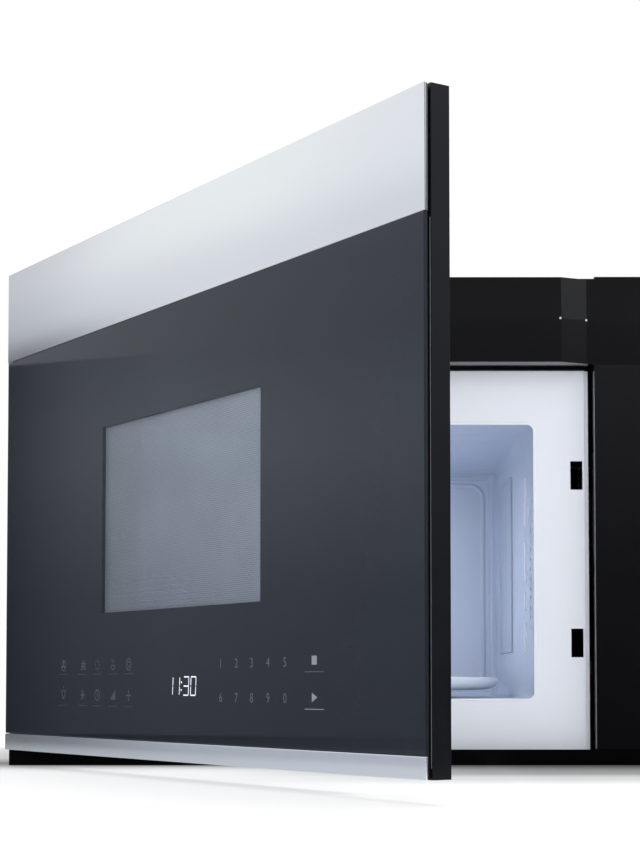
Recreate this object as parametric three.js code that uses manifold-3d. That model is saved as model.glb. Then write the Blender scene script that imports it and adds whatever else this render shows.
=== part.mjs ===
// Over the range microwave: a combined microwave oven and hood with a full-width door on left-hand hinges.
// Millimetres, +X to the right, +Y to the back, +Z up. The origin is the middle of the body's underside.
// The rest pose has the door open by REST_ANGLE.

import * as THREE from 'three';
import { mergeVertices } from 'three/addons/utils/BufferGeometryUtils.js';
import Module from 'manifold-3d';

const wasm = await Module();
wasm.setup();

// ---------------------------------------------------------------- driving dimensions

// Body, wall thicknesses and clearances. THROUGH is how far a cut reaches past the wall it opens.
const BODY_WIDTH = 605;
const BODY_HEIGHT = 417;
const BODY_DEPTH = 392;
const SHEET = 1.2;
const PLASTIC = 2;
const FIT = 0.3;
const RUNNING = 0.5;
const THROUGH = 1;

// Front of the body, from its right-hand side inwards and from its front backwards
const CONTROL_BAY = 108.1;
const BAY_GAP = 2.4;
const PLATE_STEP_WIDTH = 3.4;
const PLATE_STEP = 3;
const PLATE_SETBACK = 20;
const PLATE_BOTTOM = 2;
const PLATE_UNDER_VENT = 2.4;
const PLATE_FLANGE = 11.2;
const SIDE_COVER_UNDER_VENT = 0.7;
const SIDE_COVER_LIFT = 0.5;
const TRIM_HEIGHT = 13.2;
const CORNER_RECESS = 8;
const TOP_LIP = 8;
const FLANGE_INSET = 6;
const BOLT_RADIUS = 4;
const BOLT_SPACING = 230;
const BOLT_SETBACK = 86;
const BACK_SLOT_WIDTH = 34;
const BACK_SLOT_HEIGHT = 5;
const BACK_SLOT_Z = 12;
const BACK_SLOT_PITCH = 140;

// Vent cover above the cavity
const VENT_INSET = 26.5;
const VENT_SEAM_INSET = 0.7;
const VENT_END_FLAT = 7.5;
const VENT_CHAMFER = 22.8;
const VENT_PROUD = 13.5;
const VENT_END_PROUD = 3.7;
const VENT_DROP = 3.2;
const VENT_HEIGHT = 72.5;
const VENT_UPPER_FACET = 35.8;
const VENT_LEAN = 2.5;
const VENT_WALL = 1.8;
const VENT_SHELF_WIDTH = 292;
const VENT_SHELF_DEPTH = 18;
const LOUVRE_COUNT = 12;
const LOUVRE_WIDTH = 24;
const LOUVRE_DEPTH = 9;
const LOUVRE_SETBACK = 4;
const LOUVRE_END = 10;

// Cavity
const CAVITY_LEFT_INSET = 78.5;
const CAVITY_TO_SLOT = 32.1;
const CAVITY_FLOOR = 56;
const CAVITY_BELOW_PLATE_TOP = 46.9;
const CAVITY_REAR_ROOM = 14;
const CAVITY_WALL = 1;
const CAVITY_CORNER = 5;
const CAVITY_BACK_RADIUS = 10;
const CAVITY_TOP_FALL = 3.6;
const CAVITY_FLANGE = 8;
const BEND_STEPS = 3;
const TRACK_DEPTH = 6;
const SHAFT_HOLE_RADIUS = 6;
const PORT_COUNT = 14;
const PORT_RADIUS = 2;
const PORT_PITCH = 8.5;
const PORT_SETBACK = 24;
const PORT_FLOOR_GAP = 62;
const FEED_WIDTH = 60;
const FEED_BELOW = 60;
const FEED_ABOVE = 10;
const FEED_COVER_WIDTH = 111;
const FEED_COVER_SHIFT = 4.5;
const FEED_COVER_BELOW = 43;
const FEED_COVER_ABOVE = 26;

// Turntable
const TABLE_CLEARANCE = 9;
const TABLE_HEIGHT = 12;
const TABLE_RIM = 16;
const TABLE_RIM_RISE = 3;
const TABLE_LIP = 3;
const GLASS_THICKNESS = 5;
const LUG_CIRCLE = 12;
const LUG_RADIUS = 3;
const LUG_HEIGHT = 4;
const TRACK_INSET = 45;
const ROLLER_INSET = 65;
const RING_INSET = 80;
const ROLLER_RADIUS = 6.2;
const ROLLER_WIDTH = 8;
const RING_WIDTH = 8;
const RING_HEIGHT = 4;
const AXLE_RADIUS = 2;
const AXLE_END = 2;
const COUPLER_RADIUS = 7;
const COUPLER_HEIGHT = 7;
const COUPLER_ARM = 17;
const COUPLER_ARM_WIDTH = 6;
const COUPLER_ARM_HEIGHT = 5;
const STEM_RADIUS = 4;
const STEM_LENGTH = 24;
const TABLE_MOTOR_RADIUS = 26;
const TABLE_MOTOR_HEIGHT = 20;
const TABLE_MOTOR_EARS = 72;
const TABLE_MOTOR_EAR_WIDTH = 14;
const TABLE_MOTOR_PLUG = 12;

// Latch and interlock
const SLOT_INSET = 12.5;
const SLOT_WIDTH = 10.3;
const SLOT_HEIGHT = 24.5;
const SLOT_LOWER_Z = 91.5;
const SLOT_BELOW_PLATE_TOP = 103;
const HOOK_THICKNESS = 3;
const HOOK_OFFSET = 1.4;
const HOOK_REACH = 57;
const HOOK_STAGGER = 13;
const HOOK_BOTTOM = 5.5;
const HOOK_TOP = 17.5;
const HOOK_NOSE_Z = 0.8;
const HOOK_TIP_LOW = 9.5;
const HOOK_TIP_HIGH = 14.5;
const HOOK_NOSE_ROOT = 28;
const HOOK_NOSE_BACK = 25;
const HOOK_NOSE_FRONT = 12;
const HOOK_TIP_RAMP = 6;
const LATCH_NECK = 2.4;
const LATCH_OVERHANG = 6;
const LATCH_HEAD = 4;
const LATCH_UNDER = 3;
const LUG_BELOW_SLOT = 30.9;
const LUG_WING = 4;
const LUG_THICKNESS = 3;
const LUG_SETBACK = 2;
const SPRING_BELOW_SLOT = 3.9;
const SPRING_RADIUS = 2.2;
const SPRING_WIRE = 0.45;
const SPRING_TURNS = 9;
const SPRING_STEPS = 8;
const SPRING_SIDES = 5;
const GUIDE_LENGTH = 50;
const GUIDE_WALL = 2;
const GUIDE_GAP = 5;
const BOARD_REACH = 23;
const BOARD_WALL = 2.5;
const BOARD_DEPTH = 34;
const BOARD_OVERHANG = 10;
const GATE_MARGIN = 2;
const SWITCH_LENGTH = 28;
const SWITCH_HEIGHT = 16;
const SWITCH_THICKNESS = 10.3;
const SWITCH_SETBACK = 11;
const SWITCH_PITCH = 13;
const PLUNGER_RADIUS = 1.5;
const PLUNGER_LENGTH = 7;

// Door
const DOOR_LIFT = 0.3;
const DOOR_TOP_DROP = 0.5;
const DOOR_GAP = 1;
const FRAME_DEPTH = 13.2;
const FRAME_WALL = 1.8;
const FRAME_SIDE_WALL = 2.5;
const SHADOW_GAP = 1.6;
const LAND_INSET = 3;
const FRONT_LAYER = 3;
const GLUE = 0.3;
const BAND_HEIGHT = 75.4;
const STRIP_HEIGHT = 13.5;
const TRIM_SEAM = 0.4;
const EDGE_CHAMFER = 0.7;
const GLASS_SIDE_INSET = 1;
const WINDOW_SIDE = 184.5;
const WINDOW_ABOVE_DOOR_BOTTOM = 108.9;
const WINDOW_BELOW_BAND = 76.7;
const WINDOW_MARGIN = 7;
const VENT_POCKET_SIDE = 3;
const VENT_POCKET_END = 2;
const VENT_POCKET_BELOW = 2;
const VENT_POCKET_ABOVE = 4;
const PAD_SIZE = 14;
const PAD_INSET = 8;
const TOUCH_LEFT_INSET = 107.5;
const TOUCH_RIGHT_INSET = 12;
const TOUCH_ABOVE_DOOR_BOTTOM = 20.5;
const TOUCH_HEIGHT = 62;
const CHIP_SIZE = 14;
const CHIP_DEPTH = 2;
const CHIP_COUNT = 3;
const DISPLAY_X = 10;
const DISPLAY_WIDTH = 60;
const DISPLAY_HEIGHT = 30;
const DISPLAY_ABOVE_DOOR_BOTTOM = 56.5;
const CHOKE_LEFT_INSET = 19.5;
const CHOKE_TO_SLOT = 4.1;
const CHOKE_ABOVE_DOOR_BOTTOM = 3.5;
const CHOKE_BELOW_PLATE_TOP = 1.9;
const CHOKE_LAND = 12;
const CHOKE_RIM = 1;
const CHOKE_COVER_THICKNESS = 2.3;
const PANE_THICKNESS = 1.6;
const PANE_CORNER = 4;

// Hinges
const PIN_INSET = 12.5;
const PIN_AHEAD = 8.5;
const PIN_RADIUS = 2.5;
const PIN_LENGTH = 18;
const PIN_HEAD_RIM = 1.5;
const PIN_HEAD_HEIGHT = 0.7;
const ARM_HALF_WIDTH = 4;
const ARM_EYE_RIM = 0.8;
const ARM_THICKNESS = 2.5;
const ARM_CLEARANCE = 1.3;
const BRACKET_LEG = 42;
const BRACKET_GAP = 2;
const RECESS_REACH = 20;
const REST_ANGLE = 57.4;

// Hood
const EXHAUST_WIDTH = 254;
const EXHAUST_DEPTH = 82.5;
const EXHAUST_FROM_BACK = 78;
const DAMPER_HEIGHT = 20.5;
const DAMPER_WALL = 4;
const DAMPER_STOP = 2;
const FLAP_LIFT = 4;
const FLAP_THICKNESS = 1.2;
const FLAP_KNUCKLE = 2;
const WHEEL_RADIUS = 40;
const WHEEL_WIDTH = 60;
const WHEEL_BLADES = 16;
const WHEEL_DISC = 2;
const WHEEL_RIM = 7;
const WHEEL_HUB_RADIUS = 7;
const WHEEL_HUB_LENGTH = 16;
const VANE_THICKNESS = 1.2;
const VANE_DEPTH = 7;
const VANE_INSET = 4.2;
const VANE_PITCH = 0.5;
const BLOWER_SHAFT_RADIUS = 3;
const BLOWER_SHAFT_END = 12;
const BLOWER_MOTOR_RADIUS = 32;
const BLOWER_MOTOR_LENGTH = 56;
const BLOWER_DROP = 74;
const SCROLL_WALL = 1.5;
const SCROLL_ROOM = 4;
const SCROLL_INLET_RIM = 8;
const CRADLE_WIDTH = 50;
const CRADLE_DEPTH = 11;
const CRADLE_BELOW = 5;
const CHARCOAL_WIDTH = 284;
const CHARCOAL_THICKNESS = 15;
const CHARCOAL_GAP = 1;
const CHARCOAL_TOP_GAP = 8;
const CHARCOAL_POCKETS = 6;
const CHARCOAL_POCKET_WIDTH = 40;
const CHARCOAL_POCKET_DEPTH = 3;
const CHARCOAL_RIM = 5;
const FILTER_WIDTH = 122;
const FILTER_THICKNESS = 9;
const FILTER_SETBACK = 116;
const FILTER_REAR = 24;
const FILTER_TRAVEL = 8;
const FILTER_LEDGE = 8;
const FILTER_CLEARANCE = 6;
const FILTER_RIM = 5;
const FILTER_RECESS = 2.5;
const FILTER_RIBS = 9;
const FILTER_RIB_WIDTH = 2;
const FILTER_RIB_INSET = 1.2;
const LAMP_WIDTH = 90;
const LAMP_DEPTH = 50;
const LAMP_SETBACK = 44;
const LAMP_HEIGHT = 30;
const LAMP_WALL = 2;
const LAMP_ROOM = 2;
const EMITTER_SIZE = 12;
const EMITTER_PITCH = 24;
const EMITTER_DROP = 5;
const LENS_THICKNESS = 2;
const LENS_LIFT = 0.3;
const LENS_REAR = 1;

// Microwave source and its supply
const GUIDE_SHIFT = 47;
const GUIDE_DEPTH = 40;
const GUIDE_WIDTH = 90;
const GUIDE_SHEET = 1.5;
const GUIDE_BELOW = 70;
const GUIDE_ABOVE = 50;
const ANTENNA_HOLE_RADIUS = 12;
const MAGNETRON_BELOW_CAVITY_TOP = 52;
const MAGNETRON_FLANGE = 84;
const MAGNETRON_FLANGE_THICKNESS = 2;
const ANTENNA_RADIUS = 9;
const ANTENNA_LENGTH = 20;
const ANODE_RADIUS = 20;
const ANODE_LENGTH = 59;
const FIN_COUNT = 6;
const FIN_PITCH = 8;
const FIN_SIZE = 72;
const FIN_THICKNESS = 1;
const YOKE_LENGTH = 58;
const YOKE_WIDTH = 76;
const YOKE_SHEET = 2;
const YOKE_HALF_HEIGHT = 38;
const CHOKE_BOX_START = 56;
const CHOKE_BOX_LENGTH = 30;
const CHOKE_BOX_WIDTH = 56;
const CHOKE_BOX_HEIGHT = 60;
const TRANSFORMER_INSET = 12.5;
const TRANSFORMER_FROM_BACK = 136;
const TRANSFORMER_LENGTH = 88;
const TRANSFORMER_FEET_DEPTH = 92;
const TRANSFORMER_FEET_HEIGHT = 3;
const CORE_LENGTH = 64;
const CORE_DEPTH = 84;
const CORE_HEIGHT = 76;
const CORE_SLOT_OFFSET = 22;
const CORE_SLOT_DEPTH = 17;
const CORE_SLOT_HEIGHT = 46;
const WINDING_LENGTH = 86;
const WINDING_DEPTH = 60;
const WINDING_HEIGHT = 45;
const WINDING_CORNER = 6;
const WINDING_Z = 39;
const CAPACITOR_INSET = 13.5;
const CAPACITOR_FROM_BACK = 25;
const CAPACITOR_WIDTH = 54;
const CAPACITOR_DEPTH = 34;
const CAPACITOR_HEIGHT = 90.5;
const CAPACITOR_CORNER = 16;
const TAB_OFFSET = 12;
const TAB_WIDTH = 6;
const TAB_THICKNESS = 1.5;
const TAB_HEIGHT = 9;
const MAIN_BOARD_SETBACK = 36;
const MAIN_BOARD_LENGTH = 130;
const MAIN_BOARD_DROP = 92;
const MAIN_BOARD_HEIGHT = 155;
const MAIN_BOARD_THICKNESS = 1.6;
const POST_LENGTH = 6;
const POST_RADIUS = 3;
const POST_INSET = 6;
const SUPPLY_HEIGHT = 25;
const SUPPLY_LENGTH = 45;
const SUPPLY_WIDTH = 40;
const SUPPLY_INSET = 10;
const SUPPLY_Z = 30;
const RELAY_HEIGHT = 17;
const RELAY_LENGTH = 16;
const RELAY_WIDTH = 30;
const RELAY_START = 68;
const RELAY_PITCH = 24;
const RELAY_Z = 35;
const CONNECTOR_HEIGHT = 11;
const CONNECTOR_START = 20;
const CONNECTOR_LENGTH = 70;
const CONNECTOR_WIDTH = 12;
const CONNECTOR_Z = 100;

// Cooling fan, cavity lamp and cord gland
const FAN_RADIUS = 44;
const FAN_INSET = 70.5;
const FAN_DROP = 177;
const FAN_PLATE = 104;
const FAN_PLATE_SHEET = 2;
const FAN_SLOT_WIDTH = 76;
const FAN_SLOT_HEIGHT = 30;
const FAN_SLOT_Z = 26;
const FAN_MOTOR_RADIUS = 20;
const FAN_MOTOR_LENGTH = 35;
const FAN_SHAFT_RADIUS = 2;
const FAN_SHAFT_LENGTH = 56;
const SHROUD_LENGTH = 48;
const SHROUD_ROOM = 4;
const SHROUD_WALL = 2;
const FAN_BLADES = 6;
const FAN_STANDOFF = 46;
const FAN_HUB_RADIUS = 9;
const FAN_HUB_LENGTH = 14;
const FAN_BLADE_ROOT = 7;
const FAN_BLADE_WIDTH = 20;
const FAN_BLADE_THICKNESS = 1.6;
const FAN_BLADE_PITCH = 0.55;
const CAVITY_LAMP_INSET = 54;
const CAVITY_LAMP_SETBACK = 26;
const LAMP_FOOT_LENGTH = 40;
const LAMP_FOOT_WIDTH = 26;
const LAMP_FOOT_HEIGHT = 3;
const LAMP_HOLDER_RADIUS = 11;
const LAMP_HOLDER_HEIGHT = 11;
const BULB_RADIUS = 8;
const BULB_HEIGHT = 21;
const GLAND_INSET = 52.5;
const GLAND_FROM_BACK = 46;
const GLAND_BORE = 4.5;
const GLAND_NECK = 12;
const GLAND_FLANGE = 17;
const GLAND_FLANGE_HEIGHT = 4;
const GLAND_RECESS = 0.7;

// ---------------------------------------------------------------- places worked out from them

const HALF_WIDTH = BODY_WIDTH / 2;
const FRONT = -BODY_DEPTH / 2;
const BACK = BODY_DEPTH / 2;
const PLATE_FRONT = FRONT + PLATE_SETBACK;
const PLATE_BACK = PLATE_FRONT + SHEET;
const SIDE_FRONT = FRONT + CORNER_RECESS;
const INNER_X = HALF_WIDTH - SHEET - FIT;
const INNER_BACK = BACK - SHEET - FIT;
const CASE_TOP = BODY_HEIGHT - SHEET;
const TOP_FRONT = SIDE_FRONT + PLASTIC;
const ON_BASE = SHEET + FIT;

const SIDE_COVER_LEFT = HALF_WIDTH - CONTROL_BAY;
const PLATE_RIGHT = SIDE_COVER_LEFT - BAY_GAP - PLATE_STEP_WIDTH;
const SLOT_LEFT = PLATE_RIGHT - SLOT_INSET;
const HOOK_LEFT = SLOT_LEFT + HOOK_OFFSET;

const VENT_TOP_Z = BODY_HEIGHT - VENT_DROP;
const VENT_RIDGE_Z = VENT_TOP_Z - VENT_UPPER_FACET;
const VENT_BOTTOM_Z = VENT_TOP_Z - VENT_HEIGHT;
const VENT_LEFT = -HALF_WIDTH + VENT_INSET;
const VENT_SEAM = SIDE_COVER_LEFT + VENT_SEAM_INSET;
const VENT_CHAMFER_RIGHT = VENT_SEAM - VENT_END_FLAT;
const VENT_FLAT_RIGHT = VENT_CHAMFER_RIGHT - VENT_CHAMFER;
const SIDE_COVER_TOP = VENT_BOTTOM_Z - SIDE_COVER_UNDER_VENT;
const PLATE_TOP = VENT_BOTTOM_Z - PLATE_UNDER_VENT;
const SLOT_UPPER_Z = PLATE_TOP - SLOT_BELOW_PLATE_TOP;

const CAVITY_LEFT = -HALF_WIDTH + CAVITY_LEFT_INSET;
const CAVITY_RIGHT = SLOT_LEFT - CAVITY_TO_SLOT;
const CAVITY_TOP = PLATE_TOP - CAVITY_BELOW_PLATE_TOP;
const CAVITY_X = (CAVITY_LEFT + CAVITY_RIGHT) / 2;
const CAVITY_FRONT = PLATE_BACK + FIT;
const CAVITY_BACK = BACK - CAVITY_REAR_ROOM;
const CAVITY_Y = (PLATE_FRONT + CAVITY_BACK) / 2;
const TABLE_ROOM = Math.min(CAVITY_RIGHT - CAVITY_LEFT, CAVITY_BACK - PLATE_FRONT) / 2;
const TABLE_RADIUS = TABLE_ROOM - TABLE_CLEARANCE;
const TRACK_RADIUS = TABLE_RADIUS - TRACK_INSET;
const ROLLER_TRACK = TABLE_RADIUS - ROLLER_INSET;
const RING_RADIUS = TABLE_RADIUS - RING_INSET;
const TRACK_Z = CAVITY_FLOOR - TRACK_DEPTH;
const ROLLER_Z = TRACK_Z + FIT + ROLLER_RADIUS;
const GLASS_Z = ROLLER_Z + ROLLER_RADIUS + FIT;

const PIN_X = -HALF_WIDTH + PIN_INSET;
const PIN_Y = FRONT - PIN_AHEAD;
const DOOR_BACK = FRONT - DOOR_GAP;
const FRAME_FRONT = DOOR_BACK - FRAME_DEPTH;
const FRAME_FLOOR = FRAME_FRONT + PLASTIC;
const LAYER_BACK = FRAME_FRONT - SHADOW_GAP - GLUE;
const DOOR_FRONT = LAYER_BACK - FRONT_LAYER + GLUE;
const DOOR_BOTTOM = TRIM_HEIGHT + DOOR_LIFT;
const DOOR_TOP = BODY_HEIGHT - DOOR_TOP_DROP;
const BAND_BOTTOM = DOOR_TOP - BAND_HEIGHT;
const STRIP_TOP = DOOR_BOTTOM + STRIP_HEIGHT;
const WINDOW_WIDTH = BODY_WIDTH - 2 * WINDOW_SIDE;
const WINDOW_BOTTOM = DOOR_BOTTOM + WINDOW_ABOVE_DOOR_BOTTOM;
const WINDOW_TOP = BAND_BOTTOM - WINDOW_BELOW_BAND;
const WINDOW_HEIGHT = WINDOW_TOP - WINDOW_BOTTOM;
const WINDOW_Z = (WINDOW_BOTTOM + WINDOW_TOP) / 2;
const PANE_WIDTH = WINDOW_WIDTH + 2 * CHOKE_LAND;
const PANE_HEIGHT = WINDOW_HEIGHT + 2 * CHOKE_LAND;
const CHOKE_LEFT = -HALF_WIDTH + CHOKE_LEFT_INSET;
const CHOKE_RIGHT = SLOT_LEFT - CHOKE_TO_SLOT;
const CHOKE_BOTTOM = DOOR_BOTTOM + CHOKE_ABOVE_DOOR_BOTTOM;
const CHOKE_TOP = PLATE_TOP - CHOKE_BELOW_PLATE_TOP;
const CHOKE_BACK = PLATE_FRONT - DOOR_GAP - CHOKE_COVER_THICKNESS - FIT;
const CHOKE_FRONT = FRAME_FLOOR + PLASTIC + FIT;

const LATCH_FRONT = FRAME_FLOOR + FIT;
const LATCH_BACK = DOOR_BACK - LUG_SETBACK;
const LUG_Z = SLOT_UPPER_Z - LUG_BELOW_SLOT;
const SPRING_BOTTOM = LUG_Z + LUG_THICKNESS + FIT;
const SPRING_TOP = SLOT_UPPER_Z - SPRING_BELOW_SLOT;
const BOARD_LEFT = SLOT_LEFT - BOARD_REACH;
const SWITCH_LEFT = BOARD_LEFT + BOARD_WALL + FIT;
const SWITCH_RIGHT = SWITCH_LEFT + SWITCH_HEIGHT;
const FIRST_SWITCH_Y = PLATE_BACK + SWITCH_SETBACK;

const ARM_LOW_Z = DOOR_BOTTOM + ARM_CLEARANCE;
const ARM_HIGH_Z = DOOR_TOP - ARM_CLEARANCE - ARM_THICKNESS;
const ARM_RECESS = ARM_CLEARANCE + ARM_THICKNESS + ARM_CLEARANCE;
const LEG_FRONT = SIDE_FRONT + SHEET + FIT;

const EXHAUST_Y = BACK - EXHAUST_FROM_BACK;
const EXHAUST_FRONT = EXHAUST_Y - EXHAUST_DEPTH / 2;
const EXHAUST_BACK = EXHAUST_Y + EXHAUST_DEPTH / 2;
const DAMPER_BOTTOM = CASE_TOP - FIT - DAMPER_HEIGHT;
const FLAP_Z = DAMPER_BOTTOM + FLAP_LIFT;
const FLAP_HINGE_Y = EXHAUST_BACK - 2 * FLAP_KNUCKLE;
const BLOWER_Z = BODY_HEIGHT - BLOWER_DROP;
const SCROLL_HALF = WHEEL_WIDTH / 2 + SCROLL_ROOM;
const SCROLL_X = BLOWER_MOTOR_LENGTH / 2 + 2 * SCROLL_ROOM + SCROLL_HALF;

const TRANSFORMER_X = HALF_WIDTH - TRANSFORMER_INSET - TRANSFORMER_LENGTH / 2;
const TRANSFORMER_Y = BACK - TRANSFORMER_FROM_BACK;
const CAPACITOR_X = HALF_WIDTH - CAPACITOR_INSET - CAPACITOR_WIDTH / 2;
const CAPACITOR_Y = BACK - CAPACITOR_FROM_BACK - CAPACITOR_DEPTH / 2;
const FILTER_OFFSET = TRANSFORMER_X - (TRANSFORMER_LENGTH + FILTER_WIDTH) / 2 - FILTER_CLEARANCE;
const FILTER_FRONT = FRONT + FILTER_SETBACK;
const FILTER_BACK = BACK - FILTER_REAR;
const LAMP_FRONT = FRONT + LAMP_SETBACK;
const LENS_HINGE_Y = LAMP_FRONT + LAMP_DEPTH - LAMP_WALL - LENS_REAR;
const GUIDE_Y = CAVITY_Y + GUIDE_SHIFT;
const GUIDE_LEFT = CAVITY_RIGHT + CAVITY_WALL + FIT;
const GUIDE_RIGHT = CAVITY_RIGHT + CAVITY_WALL + GUIDE_DEPTH;
const MAGNETRON_Z = CAVITY_TOP - MAGNETRON_BELOW_CAVITY_TOP;
const FAN_X = HALF_WIDTH - FAN_INSET;
const FAN_Z = BODY_HEIGHT - FAN_DROP;
const FAN_REAR = INNER_BACK - FIT;
const GLAND_X = HALF_WIDTH - GLAND_INSET;
const GLAND_Y = BACK - GLAND_FROM_BACK;

// ---------------------------------------------------------------- shape helpers

// A closed geometry as a solid that can be cut and joined.
function solid(geometry) {
  const bare = geometry.clone();
  bare.deleteAttribute('normal');
  bare.deleteAttribute('uv');
  const merged = mergeVertices(bare, 1e-4);
  return new wasm.Manifold(new wasm.Mesh({
    numProp: 3,
    vertProperties: new Float32Array(merged.attributes.position.array),
    triVerts: new Uint32Array(merged.index.array),
  }));
}

const join = (first, ...others) => others.reduce((sum, other) => sum.add(other), first);
const cut = (base, ...tools) => tools.reduce((left, tool) => left.subtract(tool), base);
const middle = ([from, to]) => (from + to) / 2;
const about = (centre, length) => [centre - length / 2, centre + length / 2];
const grown = ([from, to], by) => [from - by, to + by];
const shrunk = ([from, to], by) => [from + by, to - by];
const times = (count, make) => Array.from({ length: count }, (_, number) => make(number));
const turn = (number, count) => (number * 2 * Math.PI) / count;

// A block from its span along each axis.
function block(x, y, z) {
  const geometry = new THREE.BoxGeometry(x[1] - x[0], y[1] - y[0], z[1] - z[0]);
  geometry.translate(middle(x), middle(y), middle(z));
  return solid(geometry);
}

const LAY_ALONG = {
  x: (geometry) => geometry.rotateZ(-Math.PI / 2),
  y: (geometry) => geometry,
  z: (geometry) => geometry.rotateX(Math.PI / 2),
};

// A cylinder along an axis, from its centre and length.
function rod(axis, centre, radius, length, sides = 32) {
  const geometry = LAY_ALONG[axis](new THREE.CylinderGeometry(radius, radius, length, sides));
  geometry.translate(...centre);
  return solid(geometry);
}

// An upright cylinder between two heights.
function post(x, y, z, radius, sides) {
  return rod('z', [x, y, middle(z)], radius, z[1] - z[0], sides);
}

// A turned shape about the vertical axis through a point, from a closed profile of radius and height.
function turned(profile, x, y, sides = 48) {
  const points = profile.map(([radius, height]) => new THREE.Vector2(radius, height));
  points.push(points[0].clone());
  const geometry = new THREE.LatheGeometry(points, sides);
  geometry.rotateX(Math.PI / 2);
  geometry.translate(x, y, 0);
  return solid(geometry);
}

// A geometry drawn along +X, turned by an angle about the turntable's axis.
function aroundTable(geometry, angle) {
  geometry.rotateZ(angle);
  geometry.translate(CAVITY_X, CAVITY_Y, 0);
  return solid(geometry);
}

function outline(points) {
  return new THREE.Shape(points.map(([a, b]) => new THREE.Vector2(a, b)));
}

function roundedOutline(a, b, radius) {
  const shape = new THREE.Shape();
  shape.absarc(a[1] - radius, b[0] + radius, radius, -Math.PI / 2, 0);
  shape.absarc(a[1] - radius, b[1] - radius, radius, 0, Math.PI / 2);
  shape.absarc(a[0] + radius, b[1] - radius, radius, Math.PI / 2, Math.PI);
  shape.absarc(a[0] + radius, b[0] + radius, radius, Math.PI, Math.PI * 1.5);
  shape.closePath();
  return shape;
}

function extruded(shape, depth, curveSegments = 4) {
  return new THREE.ExtrudeGeometry(shape, { depth, bevelEnabled: false, curveSegments });
}

// Turns X and Y into Y and Z, and Z into X.
const CYCLE = new THREE.Matrix4().makeBasis(
  new THREE.Vector3(0, 1, 0),
  new THREE.Vector3(0, 0, 1),
  new THREE.Vector3(1, 0, 0),
);

// An outline in Y and Z, run along X.
function alongX(shape, x) {
  const geometry = extruded(shape, x[1] - x[0]);
  geometry.applyMatrix4(CYCLE);
  geometry.translate(x[0], 0, 0);
  return solid(geometry);
}

// An outline in X and Z, run along Y.
function alongY(shape, y) {
  const geometry = extruded(shape, y[1] - y[0]);
  geometry.rotateX(Math.PI / 2);
  geometry.translate(0, y[1], 0);
  return solid(geometry);
}

// An outline in X and Y, run along Z.
function alongZ(shape, z) {
  const geometry = extruded(shape, z[1] - z[0]);
  geometry.translate(0, 0, z[0]);
  return solid(geometry);
}

// A solid skinned over loops of equal length, given anticlockwise in a local plane at rising heights.
function skinned(loops) {
  const count = loops[0].points.length;
  const positions = loops.flatMap(({ at, points }) => points.flatMap(([a, b]) => [a, b, at]));
  const index = [];
  for (let ring = 0; ring < loops.length - 1; ring += 1) {
    for (let step = 0; step < count; step += 1) {
      const low = ring * count + step;
      const lowNext = ring * count + ((step + 1) % count);
      index.push(low, lowNext, lowNext + count, low, lowNext + count, low + count);
    }
  }
  const ends = [[loops[0], 0, true], [loops.at(-1), (loops.length - 1) * count, false]];
  for (const [loop, offset, flipped] of ends) {
    const contour = loop.points.map(([a, b]) => new THREE.Vector2(a, b));
    for (const [a, b, c] of THREE.ShapeUtils.triangulateShape(contour, [])) {
      index.push(offset + a, offset + (flipped ? c : b), offset + (flipped ? b : c));
    }
  }
  const geometry = new THREE.BufferGeometry();
  geometry.setAttribute('position', new THREE.Float32BufferAttribute(positions, 3));
  geometry.setIndex(index);
  return geometry;
}

// A plate whose front edges are chamfered, standing in X and Z with its front towards -Y.
function chamferedPlate(x, y, z, chamfer) {
  const loop = (inset) => {
    const [left, right] = shrunk(x, inset);
    const [bottom, top] = shrunk(z, inset);
    return [[left, bottom], [right, bottom], [right, top], [left, top]];
  };
  const geometry = skinned([
    { at: -y[1], points: loop(0) },
    { at: -(y[0] + chamfer), points: loop(0) },
    { at: -y[0], points: loop(chamfer) },
  ]);
  geometry.rotateX(Math.PI / 2);
  return solid(geometry);
}

// ---------------------------------------------------------------- materials

const paint = (color, roughness, metalness) => () => (
  new THREE.MeshStandardMaterial({ color, roughness, metalness })
);

const FINISH = {
  blackPaint: paint(0x1c1c20, 0.45, 0.1),
  blackPlastic: paint(0x15151a, 0.35, 0),
  blackGloss: paint(0x121216, 0.12, 0),
  blackGlass: paint(0x34373d, 0.08, 0),
  stainless: paint(0xd6d9df, 0.28, 1),
  whiteEnamel: paint(0xdcdfe8, 0.35, 0),
  cavityEnamel: paint(0x96a2c0, 0.4, 0),
  steel: paint(0x9a9da3, 0.45, 0.9),
  aluminium: paint(0xc2c4c8, 0.4, 0.9),
  clearGlass: paint(0xcfd8e2, 0.06, 0),
  greyPlastic: paint(0x6d7078, 0.5, 0),
  whitePlastic: paint(0xe6e6e4, 0.45, 0),
  circuit: paint(0x1f5a3a, 0.55, 0),
  copper: paint(0xa8642e, 0.4, 0.8),
  charcoal: paint(0x202022, 0.9, 0),
};

// A mesh placed by the middle of its solid.
function piece(name, shape, material) {
  const { vertProperties, triVerts } = shape.getMesh();
  const geometry = new THREE.BufferGeometry();
  geometry.setAttribute('position', new THREE.Float32BufferAttribute(vertProperties, 3));
  geometry.setIndex(new THREE.Uint32BufferAttribute(triVerts, 1));
  geometry.computeBoundingBox();
  const centre = geometry.boundingBox.getCenter(new THREE.Vector3());
  geometry.translate(-centre.x, -centre.y, -centre.z);
  geometry.computeVertexNormals();
  const mesh = new THREE.Mesh(geometry, FINISH[material]());
  mesh.name = name;
  mesh.position.copy(centre);
  return mesh;
}

// ---------------------------------------------------------------- casing

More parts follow.
